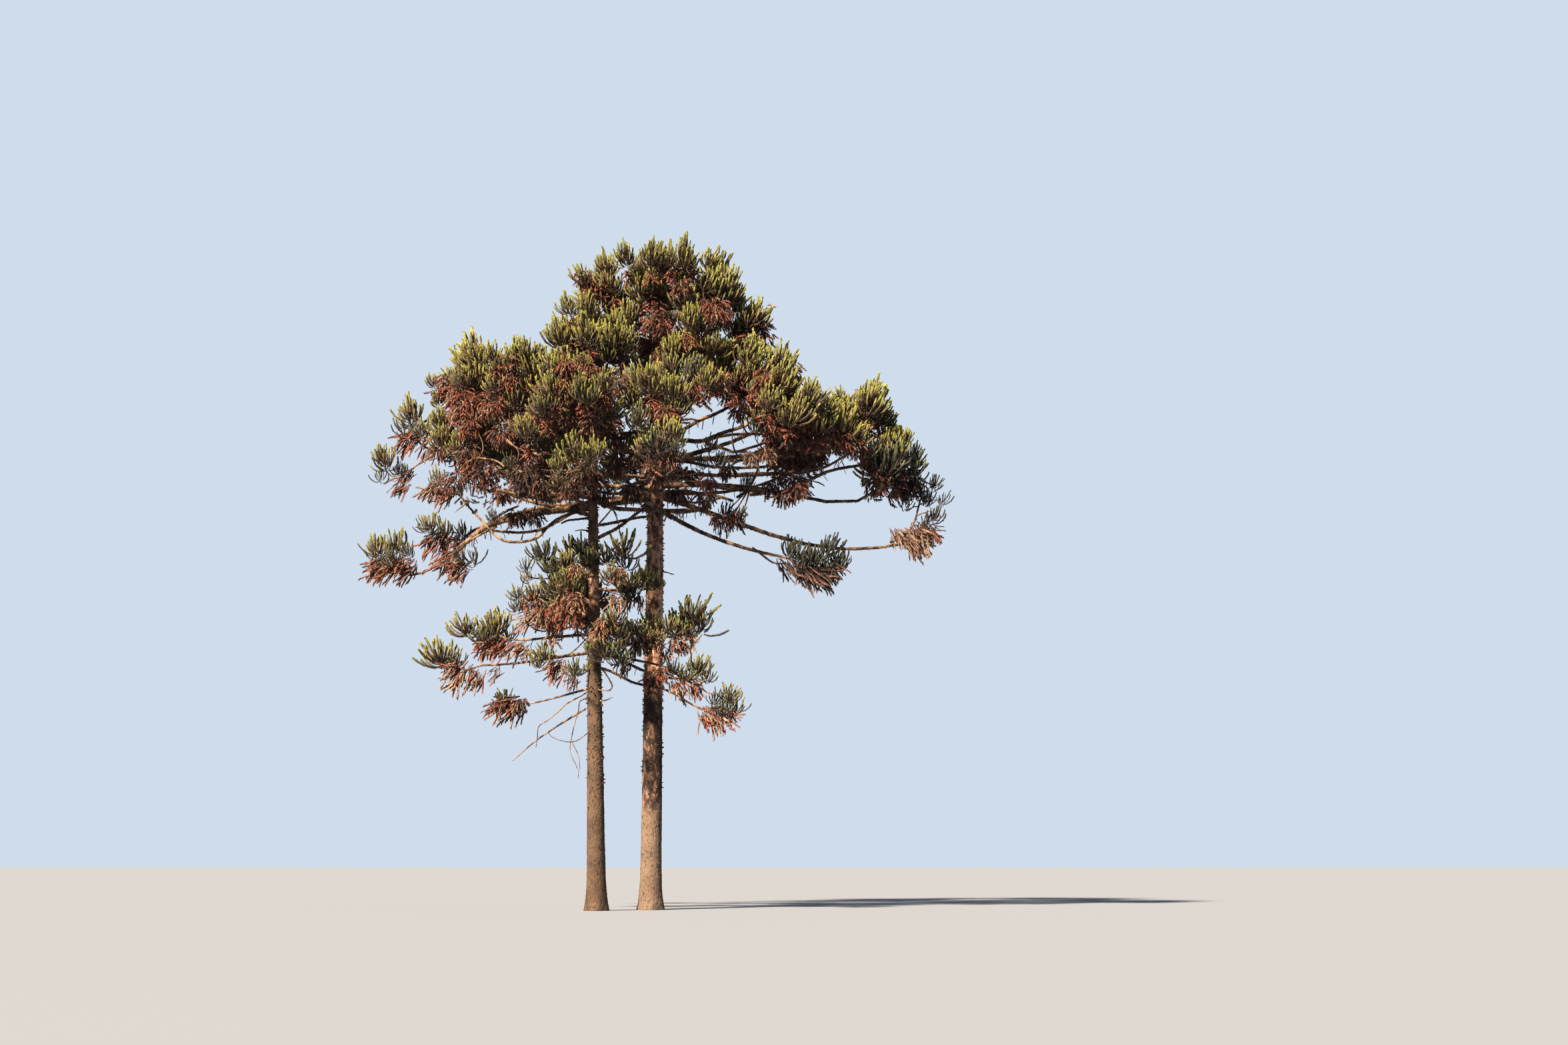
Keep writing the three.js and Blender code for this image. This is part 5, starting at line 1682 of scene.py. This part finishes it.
# The floor and the pale dome behind it light nothing, so that the light stays as it is set.
floor_mesh = bpy.data.meshes.new("floor")
turns = [math.tau * i / FLOOR_CORNERS for i in range(FLOOR_CORNERS)]
rim = [(FLOOR_RADIUS * math.cos(turn), FLOOR_RADIUS * math.sin(turn), 0) for turn in turns]
floor_mesh.from_pydata(rim, [], [tuple(range(len(rim)))])
floor = stage_piece("floor", floor_mesh, plain_material("floor", FLOOR, 0.9))
floor.visible_diffuse = False

glow = bpy.data.materials.new("backdrop")
glow.use_nodes = True
glow_shader = glow.node_tree.nodes["Principled BSDF"]
glow_shader.inputs["Base Color"].default_value = (0, 0, 0, 1)
glow_shader.inputs["Emission Color"].default_value = paint(BACKDROP)
glow_shader.inputs["Emission Strength"].default_value = 1.0
glow_shader.inputs["Specular IOR Level"].default_value = 0.0
dome = bmesh.new()
bmesh.ops.create_icosphere(dome, subdivisions=4, radius=SKY_RADIUS)
dome_mesh = bpy.data.meshes.new("backdrop")
dome.to_mesh(dome_mesh)
dome.free()
backdrop = stage_piece("backdrop", dome_mesh, glow)
backdrop.visible_diffuse = False
backdrop.visible_glossy = False
backdrop.visible_shadow = False

world = bpy.data.worlds.new("studio")
world.use_nodes = True
world.node_tree.nodes["Background"].inputs["Color"].default_value = paint(FILL_COLOUR)
world.node_tree.nodes["Background"].inputs["Strength"].default_value = FILL_STRENGTH
bpy.context.scene.world = world

key = bpy.data.lights.new("key", "SUN")
key.energy = SUN_STRENGTH
key.angle = math.radians(SUN_WIDTH)
key.color = SUN_COLOUR
key_light = bpy.data.objects.new("key", key)
bpy.context.scene.collection.objects.link(key_light)
towards_sun = Vector((
    -math.sin(math.radians(SUN_LEFT)) * math.cos(math.radians(SUN_ELEVATION)),
    -math.cos(math.radians(SUN_LEFT)) * math.cos(math.radians(SUN_ELEVATION)),
    math.sin(math.radians(SUN_ELEVATION)),
))
key_light.rotation_euler = towards_sun.to_track_quat("Z", "Y").to_euler()

lens = bpy.data.cameras.new("camera")
lens.lens = CAMERA_LENS
lens.sensor_width = SENSOR_WIDTH
lens.clip_end = CAMERA_SEES_TO
camera = bpy.data.objects.new("camera", lens)
camera.location = CAMERA_PLACE
camera.rotation_euler = (math.radians(90 + CAMERA_PITCH), 0, 0)
bpy.context.scene.collection.objects.link(camera)
bpy.context.scene.camera = camera
bpy.context.scene.view_settings.view_transform = "Standard"
